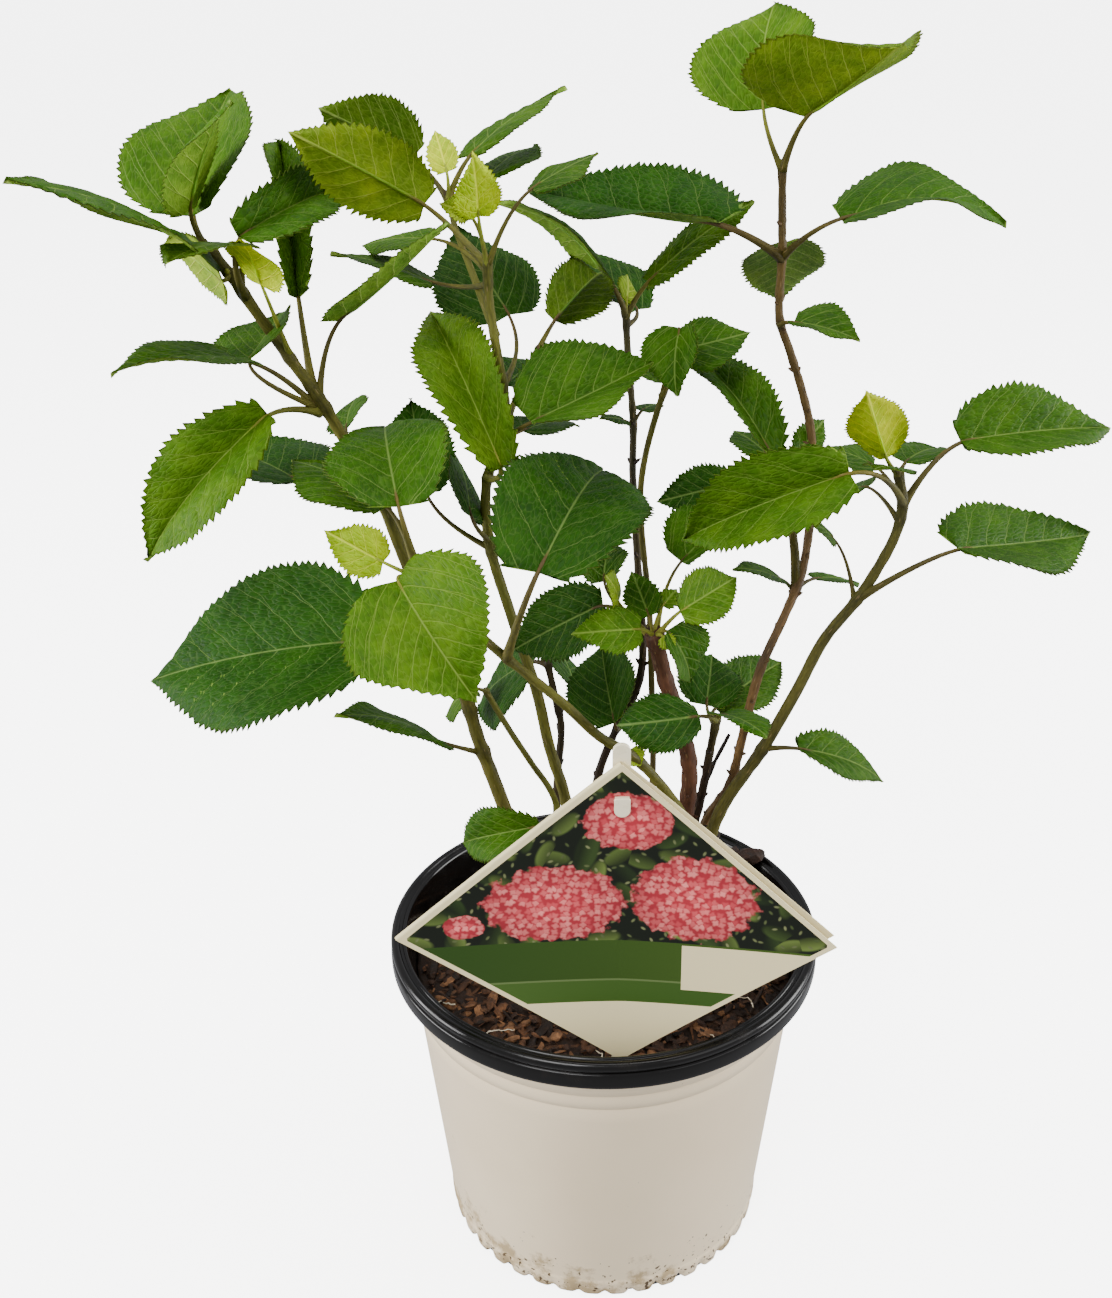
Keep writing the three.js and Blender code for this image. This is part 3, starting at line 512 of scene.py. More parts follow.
# The leafy stems: eleven shoots of one shrub, green above and woody below, with toothed leaves in pairs.
# Each line lists a leaf's tone, where its stalk leaves the stem, the blade's base and tip, its width,
# the turns of blade and halves in degrees, and how far it bows.
stems = {
    "left_stem": {
        "radius": 3.1, "end": 0.55, "foot": (-24, 5), "bark": ("#53501a", "#4e4218", 0.15),
        "route": [(-29, 8, 150), (-39, 14, 183), (-47, 16, 209), (-52, 18, 229), (-63, 18, 259),
                  (-72, 16, 288), (-78, 12, 310), (-90, 6, 337), (-95, 4, 348), (-103, 2, 362),
                  (-111, 0, 376), (-118, -4, 390), (-124, -8, 401)],
        "leaves": [
            ("fresh", (-124, -8, 400), (-128, -6, 410), (-119, 33, 443), 55, -16, 28),
            ("fresh", (-124, -8, 400), (-127, -14, 413), (-107, -37, 447), 26, 26, 16),
            ("mid", (-123, -7, 398), (-128, -12, 402), (-160, -81, 432), 44, -17, 0),
            ("young", (-119, -5, 392), (-120, -10, 390), (-143, 14, 398), 24, 65, 1),
            ("fresh", (-116, -3, 385), (-114, -16, 403), (-127, -54, 405), 26, 3, 5),
            ("mid", (-115, -3, 384), (-112, -20, 406), (-87, 30, 411), 24, 54, 48, 0.13),
            ("lime", (-103, 2, 363), (-107, -18, 391), (-109, -35, 408), 20, -25, 7),
            ("fresh", (-97, 4, 352), (-102, 24, 377), (-114, 91, 420), 32, -2, 72, 0.11),
            ("mid", (-95, 4, 348), (-87, 4, 374), (-48, -19, 409), 23, 4, 27, -0.02),
            ("mid", (-96, 4, 345), (-116, -8, 364), (-151, -40, 370), 30, -1, 12, 0.07),
            ("mid", (-96, 4, 345), (-115, -10, 365), (-108, 21, 373), 33, -21, 27, -0.01),
            ("light", (-95, 4, 343), (-111, -6, 346), (-158, -3, 293), 32, -70, 38, 0.14),
            ("deep", (-78, 12, 308), (-107, 20, 313), (-145, 62, 311), 48, 1, 15),
            ("mid", (-87, 8, 330), (-88, 14, 334), (-86, 35, 339), 18, -37, 11),
            ("deep", (-61, 18, 252), (-83, -20, 269), (-167, 10, 240), 66, -37, 13),
            ("mid", (-46, 16, 203), (-61, 4, 214), (-96, -21, 240), 29, 0, 5, 0.09),
            ("mid", (-32, 9, 160), (-24, -20, 192), (-54, -1, 173), 22, -65, 35, 0.15),
            ("fresh", (-50, 17, 221), (-50, 34, 221), (-61, 48, 202), 18, -44, 0)],
    },
    "crossing_stem": {
        "radius": 2.3, "end": 0.6, "foot": (34, -17), "bark": ("#54521c", "#4a441a", 0.1),
        "route": [(34, -18, 160), (32, -19, 186), (12, -25, 221), (-3, -32, 236), (-16, -38, 253),
                  (-34, -44, 273), (-41, -46, 281), (-52, -46, 293), (-63, -48, 310)],
        "leaves": [
            ("mid", (-61, -48, 307), (-65, -58, 332), (-73, -1, 339), 40, -10, 16, 0.11),
            ("mid", (-62, -48, 308), (-71, -34, 323), (-105, -4, 329), 34, 5, 0),
            ("lime", (-58, -47, 302), (-71.1, -56, 313.1), (-87, -66, 328), 16, -87, 8),
            ("light", (-54, -46, 296), (-66, -66, 311), (-42, -92, 282), 51, 43, 28, 0.11),
            ("deep", (-34, -44, 273), (-23, -62, 311), (1, 16, 316), 50, 16, 16, 0.11),
            ("young", (12, -25, 221), (8, -25, 226.1), (12.2, -27, 220.6), 9, 55, 12)],
    },
    "inner_left_stem": {
        "radius": 2.5, "end": 0.6, "foot": (-8, 2), "bark": ("#56561e", "#50441c", 0.2),
        "route": [(-10, 4, 151), (-14, 6, 187), (-20, 8, 210), (-24, 10, 231), (-33, 10, 264),
                  (-40, 8, 294), (-40, 6, 316), (-35, 4, 332), (-33, 4, 346), (-35, 4, 363), (-37, 4, 380),
                  (-37, 2, 393)],
        "shoots": [(1.3, [(-35, 4, 368), (-43, 18, 387), (-48, 24, 400), (-50, 26, 409)]),
                   (1.2, [(-34, 4, 334), (-28, 26, 343), (-21, 36, 354)])],
        "leaves": [
            ("deep", (-38, 8, 290), (-62, 14, 310), (-67, 36, 338), 30, -6, 45),
            ("deep", (-40, 8, 294), (-46, -4, 308), (-52, 24, 322), 24, 58, 2),
            ("light", (-40, 6, 318), (-34, -16, 329), (-59, 45, 367), 32, -22, 42, 0.14),
            ("mid", (-34, 4, 332), (-24, -14, 344), (17, 1, 359), 44, 20, 35, -0.01),
            ("deep", (-34, 4, 332), (-27, 20, 330), (-8, 47, 324), 24, 0, 5),
            ("deep", (-33, 4, 346), (-33, 40, 341), (-18, 71, 341), 30, 7, 7),
            ("olive", (-37, 3, 391), (-57.1, 12, 409.4), (-93.2, -26, 436.8), 27, 69, 14, 0.04),
            # This leaf's tone darkens its underside: painted shade.
            ("dim", (-50, 26, 408), (-61.3, 32, 421), (-90.6, 26, 437.8), 28, 81, 10, 0.05),
            ("fresh", (-37, 3, 389), (-57, 34, 394), (-82, 50, 389), 22, -11, 1),
            ("mid", (-37, 4, 385), (-57, 30, 380), (-92, 38, 389), 22, 5, 5),
            ("pale", (-37, 2, 391), (-39.3, -6, 408.5), (-39.9, -22, 429.8), 15, -162, 12),
            ("young", (-37, 2, 391), (-42.5, -4, 409.1), (-50.6, -14, 413.9), 8, -89, 12),
            ("mid", (-37, 2, 391), (-22, -2, 416), (-1, 5, 425), 20, 3, -1, 0.03),
            ("mid", (-50, 26, 408), (-37, 34, 414), (-21, 61, 420), 26, -12, 4),
            ("fresh", (-50, 26, 408), (-42, 28, 422), (-9, 58, 439), 24, -14, 5),
            ("pale", (-50, 26, 408), (-49.8, 24, 417.5), (-53.5, 30, 429.9), 10.5, -30, 10),
            ("deep", (-33, 4, 352), (-31, 50, 364), (-50, 73, 391), 43, -9, 0, -0.01),
            # This leaf's tone darkens its underside: painted shade.
            ("dim", (-22, 35, 353), (-15, 44, 363), (0, 5, 388), 23, -43, 29, 0.08)],
    },
    "middle_stem": {
        "radius": 1.9, "end": 0.65, "foot": (-2, 24), "bark": ("#46421c", "#2a1e14", 0.7),
        "route": [(-1, 25, 147), (-1, 28, 181), (6, 30, 202), (13, 32, 215), (17, 34, 230), (15, 36, 273),
                  (13, 38, 307), (13, 38, 327), (11, 38, 350), (10, 38, 367)],
        "leaves": [
            ("mid", (10, 38, 366), (4, 34, 378), (-35, 73, 399), 27, 45, -1, 0.11),
            ("deep", (10, 38, 362), (15, 50, 365), (-10, 68, 383), 35, 2, 13),
            ("fresh", (10, 38, 365), (18, 36, 378), (53, 32, 405), 18, 32, 5),
            ("young", (10, 38, 366), (10, 36, 371), (11, 48, 378), 10, 50, 5),
            ("deep", (13, 38, 325), (10, 36, 328), (0, 26, 332), 9, -14, 5),
            ("deep", (13, 38, 326), (16, 38, 331), (24, 49, 330), 10, -2, 5),
            ("deep", (8, 31, 205), (5, 10, 218), (2, 46, 234), 32, -34, 33, 0.03)],
    },
    "thin_stem": {
        "radius": 1.4, "end": 0.8, "foot": (20, 18), "bark": ("#5c581e", "#42341e", 0.5),
        "route": [(20, 20, 150), (21, 24, 195), (20, 26, 230), (19, 27, 256), (15, 24, 308), (22, 17, 344),
                  (24, 16, 349)],
        "leaves": [
            ("mid", (22, 16, 345), (27, 14, 367), (25, 1, 347), 24, 25, 31, 0.11),
            ("mid", (22, 16, 345), (28, 20, 358), (52, 22, 363), 25, 29, 6, -0.01),
            ("mid", (21, 16, 343), (23, 14, 348), (15, 30, 352), 20, 2, 15)],
    },
    "tall_right_stem": {
        "radius": 2, "end": 0.66, "foot": (36, 9), "bark": ("#3e380a", "#5a4428", 0.75),
        "route": [(37, 10, 150), (41, 12, 172), (49, 8, 190), (52, 1, 214), (54, -6, 236), (57, -7, 250),
                  (65, -1, 266), (72, 9, 277), (75, 16, 287), (76, 18, 310), (74, 18, 329), (70, 16, 343),
                  (64, 12, 359), (60, 12, 370), (59, 8, 391), (57, 4, 420)],
        "shoots": [(1.7, [(70, 6, 272), (70, 12, 284), (68, 12, 296), (63, 12, 319)])],
        "leaves": [
            ("light", (57, 4, 419), (51, 8, 437), (56, 26, 467), 47, -25, 25, 0.11),
            ("olive", (57, 4, 419), (62, -4, 436), (79, -52, 460), 59, -1, 30, -0.01),
            ("mid", (59, 8, 391), (75, -8, 405), (127, -7, 402), 44, 9, 18, 0.16),
            ("deep", (59, 8, 391), (37, 0, 404), (-23, 70, 404), 40, -19, 31, -0.02),
            ("deep", (59, 8, 390), (65, 38, 390), (70, 73, 362), 29, -9, 7, -0.01),
            ("mid", (60, 11, 368), (63, 2, 371), (83, -9, 367), 23, 10, 26),
            ("mid", (63, 12, 318), (58.1, 4, 324.8), (31.4, 50, 349.2), 25, -6, 40, 0.1),
            ("mid", (63, 12, 318), (59, 14, 321), (49, 34, 324), 18, 1, 5),
            ("mid", (63, 12, 318), (68.9, 14, 322.3), (80.8, 28, 329.7), 11, 48, 14),
            ("deep", (64, 12, 314), (48.4, 20, 309.5), (21.1, 30, 298.8), 18, -75, 10),
            ("mid", (70, 7, 271), (65, 6, 277), (45, -6, 287), 14, -10, 5),
            ("mid", (71, 8, 273), (79, 18, 272), (100, 36, 261), 12, 5, 5)],
    },
    "right_stem": {
        "radius": 2.8, "end": 0.6, "foot": (37, -5), "bark": ("#4e4a1e", "#4a4218", 0.15),
        "route": [(38, -4, 160), (45, -2, 186), (59, -2, 211), (70, -4, 236), (79, -6, 259), (89, -8, 275),
                  (95, -8, 286), (100, -10, 300), (101, -12, 312), (98, -14, 324)],
        "leaves": [
            ("mid", (101, -12, 311), (119, -10, 333), (177, 10, 330), 34, 34, 32, 0.03),
            ("fresh", (101, -12, 312), (76, -39, 333), (26, -14, 301), 36, -72, 44, 0.15),
            ("mid", (89, -8, 275), (121, -14, 296), (181, 25, 284), 39, 22, 19, -0.01),
            ("mid", (88, -8, 275), (82, 4, 293), (71, 2, 302), 14, -12, 5),
            ("mid", (60, -2, 212), (72, -8, 215), (108, 5, 192), 20, 27, 17, 0.08),
            ("lime", (98, -14, 323), (92, -20, 331), (78, -44, 361), 20, 29, 30, -0.01),
            ("mid", (98, -14, 322), (101, -10, 326), (118, 12, 323), 20, 0, 18),
            ("mid", (98, -14, 322), (97, -18, 326), (84, -37, 333), 16, 0, 5),
            ("mid", (100, -11, 314), (92, -4, 323), (77, 0, 328), 22, -5, 4),
            ("mid", (100, -11, 306), (93, 8, 311), (86, 28, 300), 16, -18, 5)],
    },
    "old_stub": {
        "radius": 3.4, "end": 0.85, "foot": (25, -7), "bark": ("#7c7c2c", "#4a2e1e", 0.95),
        "route": [(26, -6, 154), (31, -9, 192), (31, -13, 212), (27, -16, 232), (21, -20, 251),
                  (16, -26, 273)],
        "leaves": [
            ("mid", (17, -25, 270), (27, -6, 290), (49, 6, 303), 31, 8, 33),
            ("mid", (16, -25, 270), (0, -10, 285), (4, 6, 292), 18, -25, 9, 0.11),
            ("young", (16, -26, 270), (4, -22, 282), (-1, -35, 298), 14, -78, 5),
            ("deep", (16, -26, 269), (-1, -20, 280.9), (-32.7, -6, 257), 25, -68, 14),
            ("light", (16, -26, 271), (10.9, -32, 276.8), (-12.6, -42, 280.3), 16, -59, 8),
            ("mid", (16, -25, 271), (14.4, -25, 278.3), (9, -14, 290.4), 13, -21, 10),
            ("light", (17, -26, 271), (24, -34, 284), (45.4, -12, 286.4), 19, 50, 20),
            ("mid", (17, -26, 270), (20, -32, 276), (28, -32, 256), 23, 41, 31, 0.11),
            ("light", (16, -25, 271), (19.1, -22, 280.6), (24.9, -14, 283.2), 7, 38, 10),
            ("young", (17, -26, 271), (18.5, -33, 274.5), (22.4, -36, 270.3), 6, 50, 14)],
    },
    "short_shoot": {
        "radius": 2, "end": 0.75, "foot": (29, 3), "bark": ("#6c7030", "#2e2016", 0.85),
        "route": [(30, 4, 150), (37, 0, 188), (39, -8, 214), (40, -17, 234)],
        "leaves": [
            ("deep", (40, -16, 232), (32, -30, 242), (2, -50, 250), 23, -52, -23, -0.03),
            ("mid", (40, -14, 229), (42.4, 7, 224.9), (73.1, 42, 226), 23, 29, 18),
            ("deep", (40, -14, 229), (38.1, 0, 230.1), (43.1, 26, 237.7), 25, 14, 16),
            ("mid", (40, -16, 232), (41, -22, 238), (53, -48, 243), 20, -12, 12)],
    },
    "back_twig": {
        "radius": 1.7, "end": 0.8, "foot": (-16, 25), "bark": ("#3c341c", "#281e14", 0.7),
        "route": [(-17, 25, 150), (-17, 25, 181), (-15, 26, 209), (-17, 27, 220), (-20, 28, 236)],
        "leaves": [
            ("deep", (-20, 28, 234), (-25, 30, 235), (-48, 65, 198), 44, -47, 0),
            ("deep", (-16, 27, 214), (-9, 40, 217), (-17, 73, 221), 26, 41, 3)],
    },
    "left_twig": {
        "radius": 1.4, "end": 0.8, "foot": (-15, -8), "bark": ("#54541c", "#50481a", 0.15),
        "route": [(-16, -7, 150), (-18, -4, 192), (-27, -6, 211), (-34, -8, 225), (-43, -8, 243)],
        "leaves": [
            ("fresh", (-42, -8, 242), (-47, -13, 246), (-58, -24, 252), 14, -10, 8)],
    },
}
stem_bottom = 98
stem_step = 1.5
first_spur = 26.0
usual_arch = 0.05
tones = {  # upper side, underside, stalk
    "deep": ("#183e03", "#527328", "#4c3d1e"), "mid": ("#274c04", "#597e26", "#50451e"),
    "fresh": ("#325604", "#648c28", "#5c561c"), "light": ("#3f6406", "#72962c", "#6c7024"),
    "young": ("#638210", "#7c9a28", "#7e822a"), "pale": ("#a8cc0c", "#aec81c", "#8f9c2e"),
    "lime": ("#8cac00", "#94b000", "#8f9c2e"),
    # The last tone is the deep tone with a darker underside: painted shade for undersides that lie in shade.
    "olive": ("#43600a", "#56740c", "#56501a"), "dim": ("#183e03", "#37550a", "#4c3d1e")}

# Young and old bark: green and finely streaked above, brown, ribbed and flaking where it has turned woody.
stem_bark = Surface("hydrangea_bark", IOR=1.45, Specular_IOR_Level=0.25)
bark_tint = stem_bark.attribute("bark_tint")
bark_place = stem_bark.attribute("bark_place", "Vector")
streaks = stem_bark.cloud(bark_place, 1.6, Detail=4.0, Roughness=0.6)
patches = stem_bark.cloud(bark_place, 0.35, Detail=2.0)
both = stem_bark.maths("ADD", streaks, patches)
shade = stem_bark.ramp(both, 0.65, 1.35, 0.45, 1.6)
toned = stem_bark.vector("MULTIPLY", bark_tint, shade)
pores = stem_bark.add("TexVoronoi", {"Vector": bark_place, "Scale": 0.75})
pore_limit = stem_bark.ramp(pores, 0.17, 0.1, 0.0, 0.5)
finished = stem_bark.blend(pore_limit, toned, "#8a7450")
rough = stem_bark.ramp(both, 0.7, 1.3, 0.45, 0.8)
ribs = stem_bark.bump(both, 0.6, 0.0006)
stem_bark.finish(Base_Color=finished, Roughness=rough, Normal=ribs)

# Leaf blade: a soft cuticle with a low sheen above, duller below. Side veins, which fork near the edge,
# and a fine net are paler than the green between them, sunk above and proud below. The net's meshes
# are drawn 2 mm wide, coarser than real, so that they show.
# In leaf_veins are the count of side veins passed, their gap and the share out to the edge, and in
# leaf_place the way along, the way across, and the upper mark on the upper side.
upper_mark = 40.0
leaf_skin = Surface("hydrangea_leaf", IOR=1.42, Specular_IOR_Level=0.09)
leaf_tint = leaf_skin.attribute("leaf_tint")
leaf_veins = leaf_skin.attribute("leaf_veins", "Vector")
leaf_place = leaf_skin.attribute("leaf_place", "Vector")
vein_parts = leaf_skin.parts(leaf_veins)
place_parts = leaf_skin.parts(leaf_place)
wobble = leaf_skin.cloud(leaf_place, 0.1, Detail=1.0)
wobble_by = leaf_skin.ramp(wobble, 0.2, 0.8, -0.07, 0.07)
phase = leaf_skin.maths("ADD", vein_parts[0], wobble_by)
drift = leaf_skin.ramp(vein_parts[2], 0.45, 1.0, 0.0, 0.45)
forked = leaf_skin.maths("ADD", phase, drift)
vein_lines = []
for source, wide, narrow in ((phase, 0.4, 0.18), (forked, 0.25, 0.14)):
    wrapped = leaf_skin.maths("FRACT", source)
    centred = leaf_skin.maths("SUBTRACT", wrapped, 0.5)
    apart = leaf_skin.maths("ABSOLUTE", centred)
    reach = leaf_skin.maths("MULTIPLY", apart, vein_parts[1])
    width = leaf_skin.ramp(vein_parts[2], 0.0, 1.0, wide, narrow)
    vein_lines.append(leaf_skin.ramp(reach, width, 0.03, 0.0, 1.0, smooth=True))
side_vein = leaf_skin.maths("MAXIMUM", vein_lines[0], vein_lines[1])
off_rib = leaf_skin.maths("ABSOLUTE", place_parts[1])
mid_rib = leaf_skin.ramp(off_rib, 0.65, 0.15, 0.0, 1.35, smooth=True)
along_net = leaf_skin.maths("MULTIPLY", phase, vein_parts[1])
net_place = leaf_skin.add("CombineXYZ", {0: along_net, 1: place_parts[1], 2: place_parts[0]})
net_stretch = leaf_skin.vector("MULTIPLY", net_place, (0.36, 0.62, 0.12))
net_cells = leaf_skin.add("TexVoronoi", {"Vector": net_stretch, "Scale": 1.0}, feature="DISTANCE_TO_EDGE")
net = leaf_skin.ramp(net_cells, 0.11, 0.0, 0.0, 0.3)
thick = leaf_skin.maths("MAXIMUM", side_vein, mid_rib)
veins = leaf_skin.maths("MAXIMUM", thick, net)
broad = leaf_skin.cloud(leaf_place, 0.08, Detail=3.0)
fine = leaf_skin.cloud(leaf_place, 0.45, Detail=3.0)
mottle = leaf_skin.maths("ADD", broad, fine)
shade = leaf_skin.ramp(mottle, 0.7, 1.3, 0.72, 1.3)
warmer = leaf_skin.vector("MULTIPLY", leaf_tint, (1.5, 1.12, 0.9))
warm_share = leaf_skin.ramp(broad, 0.4, 0.72, 0.0, 0.8)
hue = leaf_skin.blend(warm_share, leaf_tint, warmer)
ground = leaf_skin.vector("MULTIPLY", hue, shade)
lifted = leaf_skin.vector("MULTIPLY", leaf_tint, (2.6, 1.9, 2.6))
pale = leaf_skin.blend(0.24, lifted, "#a8b870")
vein_share = leaf_skin.ramp(place_parts[2], 0.0, upper_mark, 0.8, 0.6)
veined_share = leaf_skin.maths("MULTIPLY", veins, vein_share)
veined = leaf_skin.blend(veined_share, ground, pale)
at_edge = leaf_skin.ramp(vein_parts[2], 0.97, 1.0, 0.0, 0.4)
edged = leaf_skin.blend(at_edge, veined, "#33260c")
gloss = leaf_skin.ramp(place_parts[2], 0.0, upper_mark, 0.7, 0.52)
uneven = leaf_skin.ramp(fine, 0.3, 0.7, -0.08, 0.1)
rough = leaf_skin.maths("ADD", gloss, uneven)
puffed = leaf_skin.ramp(net_cells, 0.0, 0.35, 0.0, 0.3, smooth=True)
crumpled = leaf_skin.maths("MULTIPLY_ADD", fine, 0.8, puffed)
sunk = leaf_skin.ramp(place_parts[2], 0.0, upper_mark, 1.0, -1.0)
height = leaf_skin.maths("MULTIPLY_ADD", veins, sunk, crumpled)
relief = leaf_skin.bump(height, 0.6, 0.0006)
leaf_skin.finish(Base_Color=edged, Roughness=rough, Normal=relief)


def through(points, spacing):
    """A smooth line through points, with a point at each spacing."""
    points = np.array(points, float)
    points = np.vstack([2 * points[0] - points[1], points, 2 * points[-1] - points[-2]])
    line = []
    for a, b, c, d in zip(points, points[1:], points[2:], points[3:]):
        before, here, after = (np.linalg.norm(q - p) ** 0.5 for p, q in ((a, b), (b, c), (c, d)))
        leave = here * ((b - a) / before - (c - a) / (before + here) + (c - b) / here)
        arrive = here * ((c - b) / here - (d - b) / (here + after) + (d - c) / after)
        for t in np.arange(0, 1, 0.05):
            line.append((2 * t ** 3 - 3 * t ** 2 + 1) * b + (t ** 3 - 2 * t ** 2 + t) * leave
                        + (3 * t ** 2 - 2 * t ** 3) * c + (t ** 3 - t ** 2) * arrive)
    line = np.array(line + [points[-2]])
    runs = runs_along(line)
    even = np.linspace(0, runs[-1], max(4, round(runs[-1] / spacing)) + 1)
    return np.stack([np.interp(even, runs, line[:, k]) for k in range(3)], 1)


def leaf_outline(u):
    """Half a blade's width along it: round at the stalk, widest before the middle, then pointed."""
    return np.sin(np.pi * np.clip(u, 0, 1) ** 0.72) ** (0.6 + 0.5 * u)


def leaf_axes(base, tip, roll):
    """A blade's base and length, and its directions along, level across, above and square to its face."""
    base, tip = np.array(base, float), np.array(tip, float)
    length = np.linalg.norm(tip - base)
    axis = (tip - base) / length
    level = unit(np.cross((0, 0, 1), axis))
    above = np.cross(axis, level)
    return base, length, axis, level, above, math.cos(roll) * above - math.sin(roll) * level


def bow(arch, length, u):
    """How far a blade's midrib stands off the straight line at a share of its length."""
    return arch * length * 4 * u * (1 - u)


class Growth:
    """What one stem's wood or blades gather: points, faces and the numbers that go with each point."""

    def __init__(self):
        self.points, self.faces, self.tints, self.places, self.veins = [], [], [], [], []
        self.count = 0

    def take(self, points, faces, tint, place, veins=None):
        self.faces += [tuple(corner + self.count for corner in face) for face in faces]
        self.count += len(points)
        self.points.append(points)
        self.tints.append(np.broadcast_to(tint, (len(points), 3)))
        self.places.append(place)
        if veins is not None:
            self.veins.append(veins)


def grow_rod(wood, line, radii, tint, sides, seed):
    """Adds a tube of bark. Its streaks run along it, so its length is squeezed in their pattern."""
    points, faces, angles = tube(line, radii, sides)
    runs = runs_along(line)
    count = len(line)
    along = np.concatenate([np.repeat(runs, sides), [0, runs[-1]]])
    reach = np.concatenate([np.repeat(np.broadcast_to(radii, (count,)), sides), [0, 0]])
    place = np.stack([np.cos(angles) * reach + seed * 9.7, np.sin(angles) * reach, along * 0.16], 1)
    tint = np.asarray(tint, float)
    if tint.ndim == 2:
        tint = np.vstack([np.repeat(tint, sides, 0), tint[:1], tint[-1:]])
    wood.take(points, faces, tint, place)


# Shares of a blade's length or width, but for its thickness in millimetres.
lobe = 0.07
edge_droop = -0.1
quilt_height = 0.012
wave_height = 0.024
deepest_tooth = 0.13
blade_half_thickness = 0.17
side_vein_pairs = 7


def grow_blade(leaves, tone, base, tip, width, roll, fold, arch, seed):
    """Adds one blade: two folded halves, toothed, quilted between the veins and bowed along the midrib."""
    roll, fold = math.radians(roll), math.radians(fold)
    base, length, axis, level, above, face = leaf_axes(base, tip, roll)
    chance = np.random.default_rng(seed)
    steps = 2 * max(7, round(length * 1.05 / np.clip(length * 0.042, 1.5, 3.0)))
    shares = np.array([0.1, 0.22, 0.36, 0.5, 0.64, 0.78, 0.9, 0.97, 1] if length > 36
                      else [0.16, 0.36, 0.58, 0.78, 0.93, 1])
    columns = len(shares)
    pairs = side_vein_pairs if length > 30 else 5
    gap = length / pairs * 0.75
    rib_u = np.arange(steps + 1) / steps
    rib = base + axis * (length * rib_u)[:, None] + bow(arch, length, rib_u)[:, None] * face
    tops, normals, places, veins = [rib], [np.broadcast_to(face, rib.shape)], [], []
    places.append(np.stack([length * rib_u, 0 * rib_u], 1))
    veins.append(np.stack([rib_u * pairs, 0 * rib_u], 1))
    faces, rims = [], []
    # Both halves: every other point of the rim reaches out to a tooth, the blade swells between its side
    # veins and waves towards the edge.
    for hand in (1, -1):
        turn = fold + hand * roll
        out = hand * math.cos(turn) * level + math.sin(turn) * above
        half_face = math.cos(turn) * above - hand * math.sin(turn) * level
        u = rib_u[1:-1][:, None]
        odd = (np.arange(1, steps) % 2)[:, None]
        half_width = width / 2 * leaf_outline(u)
        bite = np.clip((0.35 + 0.0085 * length) / (half_width + 0.3), 0, deepest_tooth)
        bite = bite * chance.uniform(0.45, 1.5, u.shape)
        rim = shares ** 12
        share = shares * (1 + (2 * odd - 1) * bite * rim)
        ahead_u = u + (odd * 0.5 + chance.uniform(-0.3, 0.3, u.shape)) / steps * rim
        reach = width / 2 * leaf_outline(ahead_u) * share
        run = length * ahead_u - lobe * length * np.minimum(share, 1) * (1 - ahead_u) ** 3
        leave = run - reach * (0.6 + 0.5 * ahead_u) - 0.7 * reach ** 2 / width
        phase = leave / length * pairs + (0.1 if hand == 1 else -0.12)
        off_vein = np.abs(phase % 1 - 0.5) * gap
        quilt = quilt_height * length * (1 - np.exp(-(off_vein / 1.7) ** 2)) * (1 - shares ** 5)
        quilt = quilt * (1 - np.exp(-reach / 2.5))
        ruffle = wave_height * width * shares ** 3 * np.sin(2 * np.pi * (1.7 * ahead_u + chance.random()))
        waves = 0.8 * ahead_u + 0.6 * shares + chance.random()
        uneven = wave_height * length * shares ** 2 * np.sin(2 * np.pi * waves)
        lift = edge_droop * reach * share + quilt + ruffle + uneven
        made = (base + run[..., None] * axis + bow(arch, length, ahead_u)[..., None] * face
                + reach[..., None] * out + lift[..., None] * half_face)
        first = sum(len(part) for part in tops)
        tops.append(made.reshape(-1, 3))
        normals.append(np.broadcast_to(half_face, tops[-1].shape))
        places.append(np.stack([run, hand * reach], 2).reshape(-1, 2))
        veins.append(np.stack([phase + 0 * reach, shares + 0 * reach], 2).reshape(-1, 2))
        grid = first + np.arange((steps - 1) * columns).reshape(steps - 1, columns)
        grid = np.hstack([np.arange(1, steps)[:, None], grid])
        side_faces = []
        for i in range(steps - 2):
            for k in range(columns):
                side_faces.append((grid[i, k], grid[i + 1, k], grid[i + 1, k + 1], grid[i, k + 1]))
        for k in range(columns):
            side_faces.append((0, grid[0, k], grid[0, k + 1]))
            side_faces.append((grid[-1, k], steps, grid[-1, k + 1]))
        faces += side_faces if hand == 1 else [corners[::-1] for corners in side_faces]
        edge = [0] + grid[:, -1].tolist() + [steps]
        rims.append(edge if hand == 1 else edge[::-1])
    # The underside lies a thickness below, and a strip of faces closes each half's edge.
    tops, normals = np.vstack(tops), np.vstack(normals)
    count = len(tops)
    points = np.vstack([tops + normals * blade_half_thickness, tops - normals * blade_half_thickness])
    faces = [tuple(int(c) for c in corners) for corners in faces]
    faces += [tuple(c + count for c in corners[::-1]) for corners in faces]
    for edge in rims:
        faces += [(b, a, a + count, b + count) for a, b in zip(edge, edge[1:])]
    drift = chance.uniform(0.88, 1.14)
    drift = drift * np.array([chance.uniform(0.94, 1.08), 1, chance.uniform(0.92, 1.06)])
    tint = np.vstack([np.broadcast_to(rgb(tone[side]) * drift, (count, 3)) for side in (0, 1)])
    place = np.vstack(places)
    place = np.vstack([np.hstack([place, np.full((count, 1), mark)]) for mark in (upper_mark, 0.0)])
    place[:, 0] += seed * 137.0
    vein = np.vstack(veins * 2)
    vein = np.stack([vein[:, 0], np.full(2 * count, gap), vein[:, 1]], 1)
    leaves.take(points, faces, tint, place, vein)


def barked(name, wood):
    """The mesh of gathered wood, with its bark's colours and places."""
    piece = new_mesh(name, np.vstack(wood.points), wood.faces, stem_bark)
    paint(piece, "bark_tint", np.vstack(wood.tints))
    paint(piece, "bark_place", np.vstack(wood.places), "FLOAT_VECTOR")
    return piece


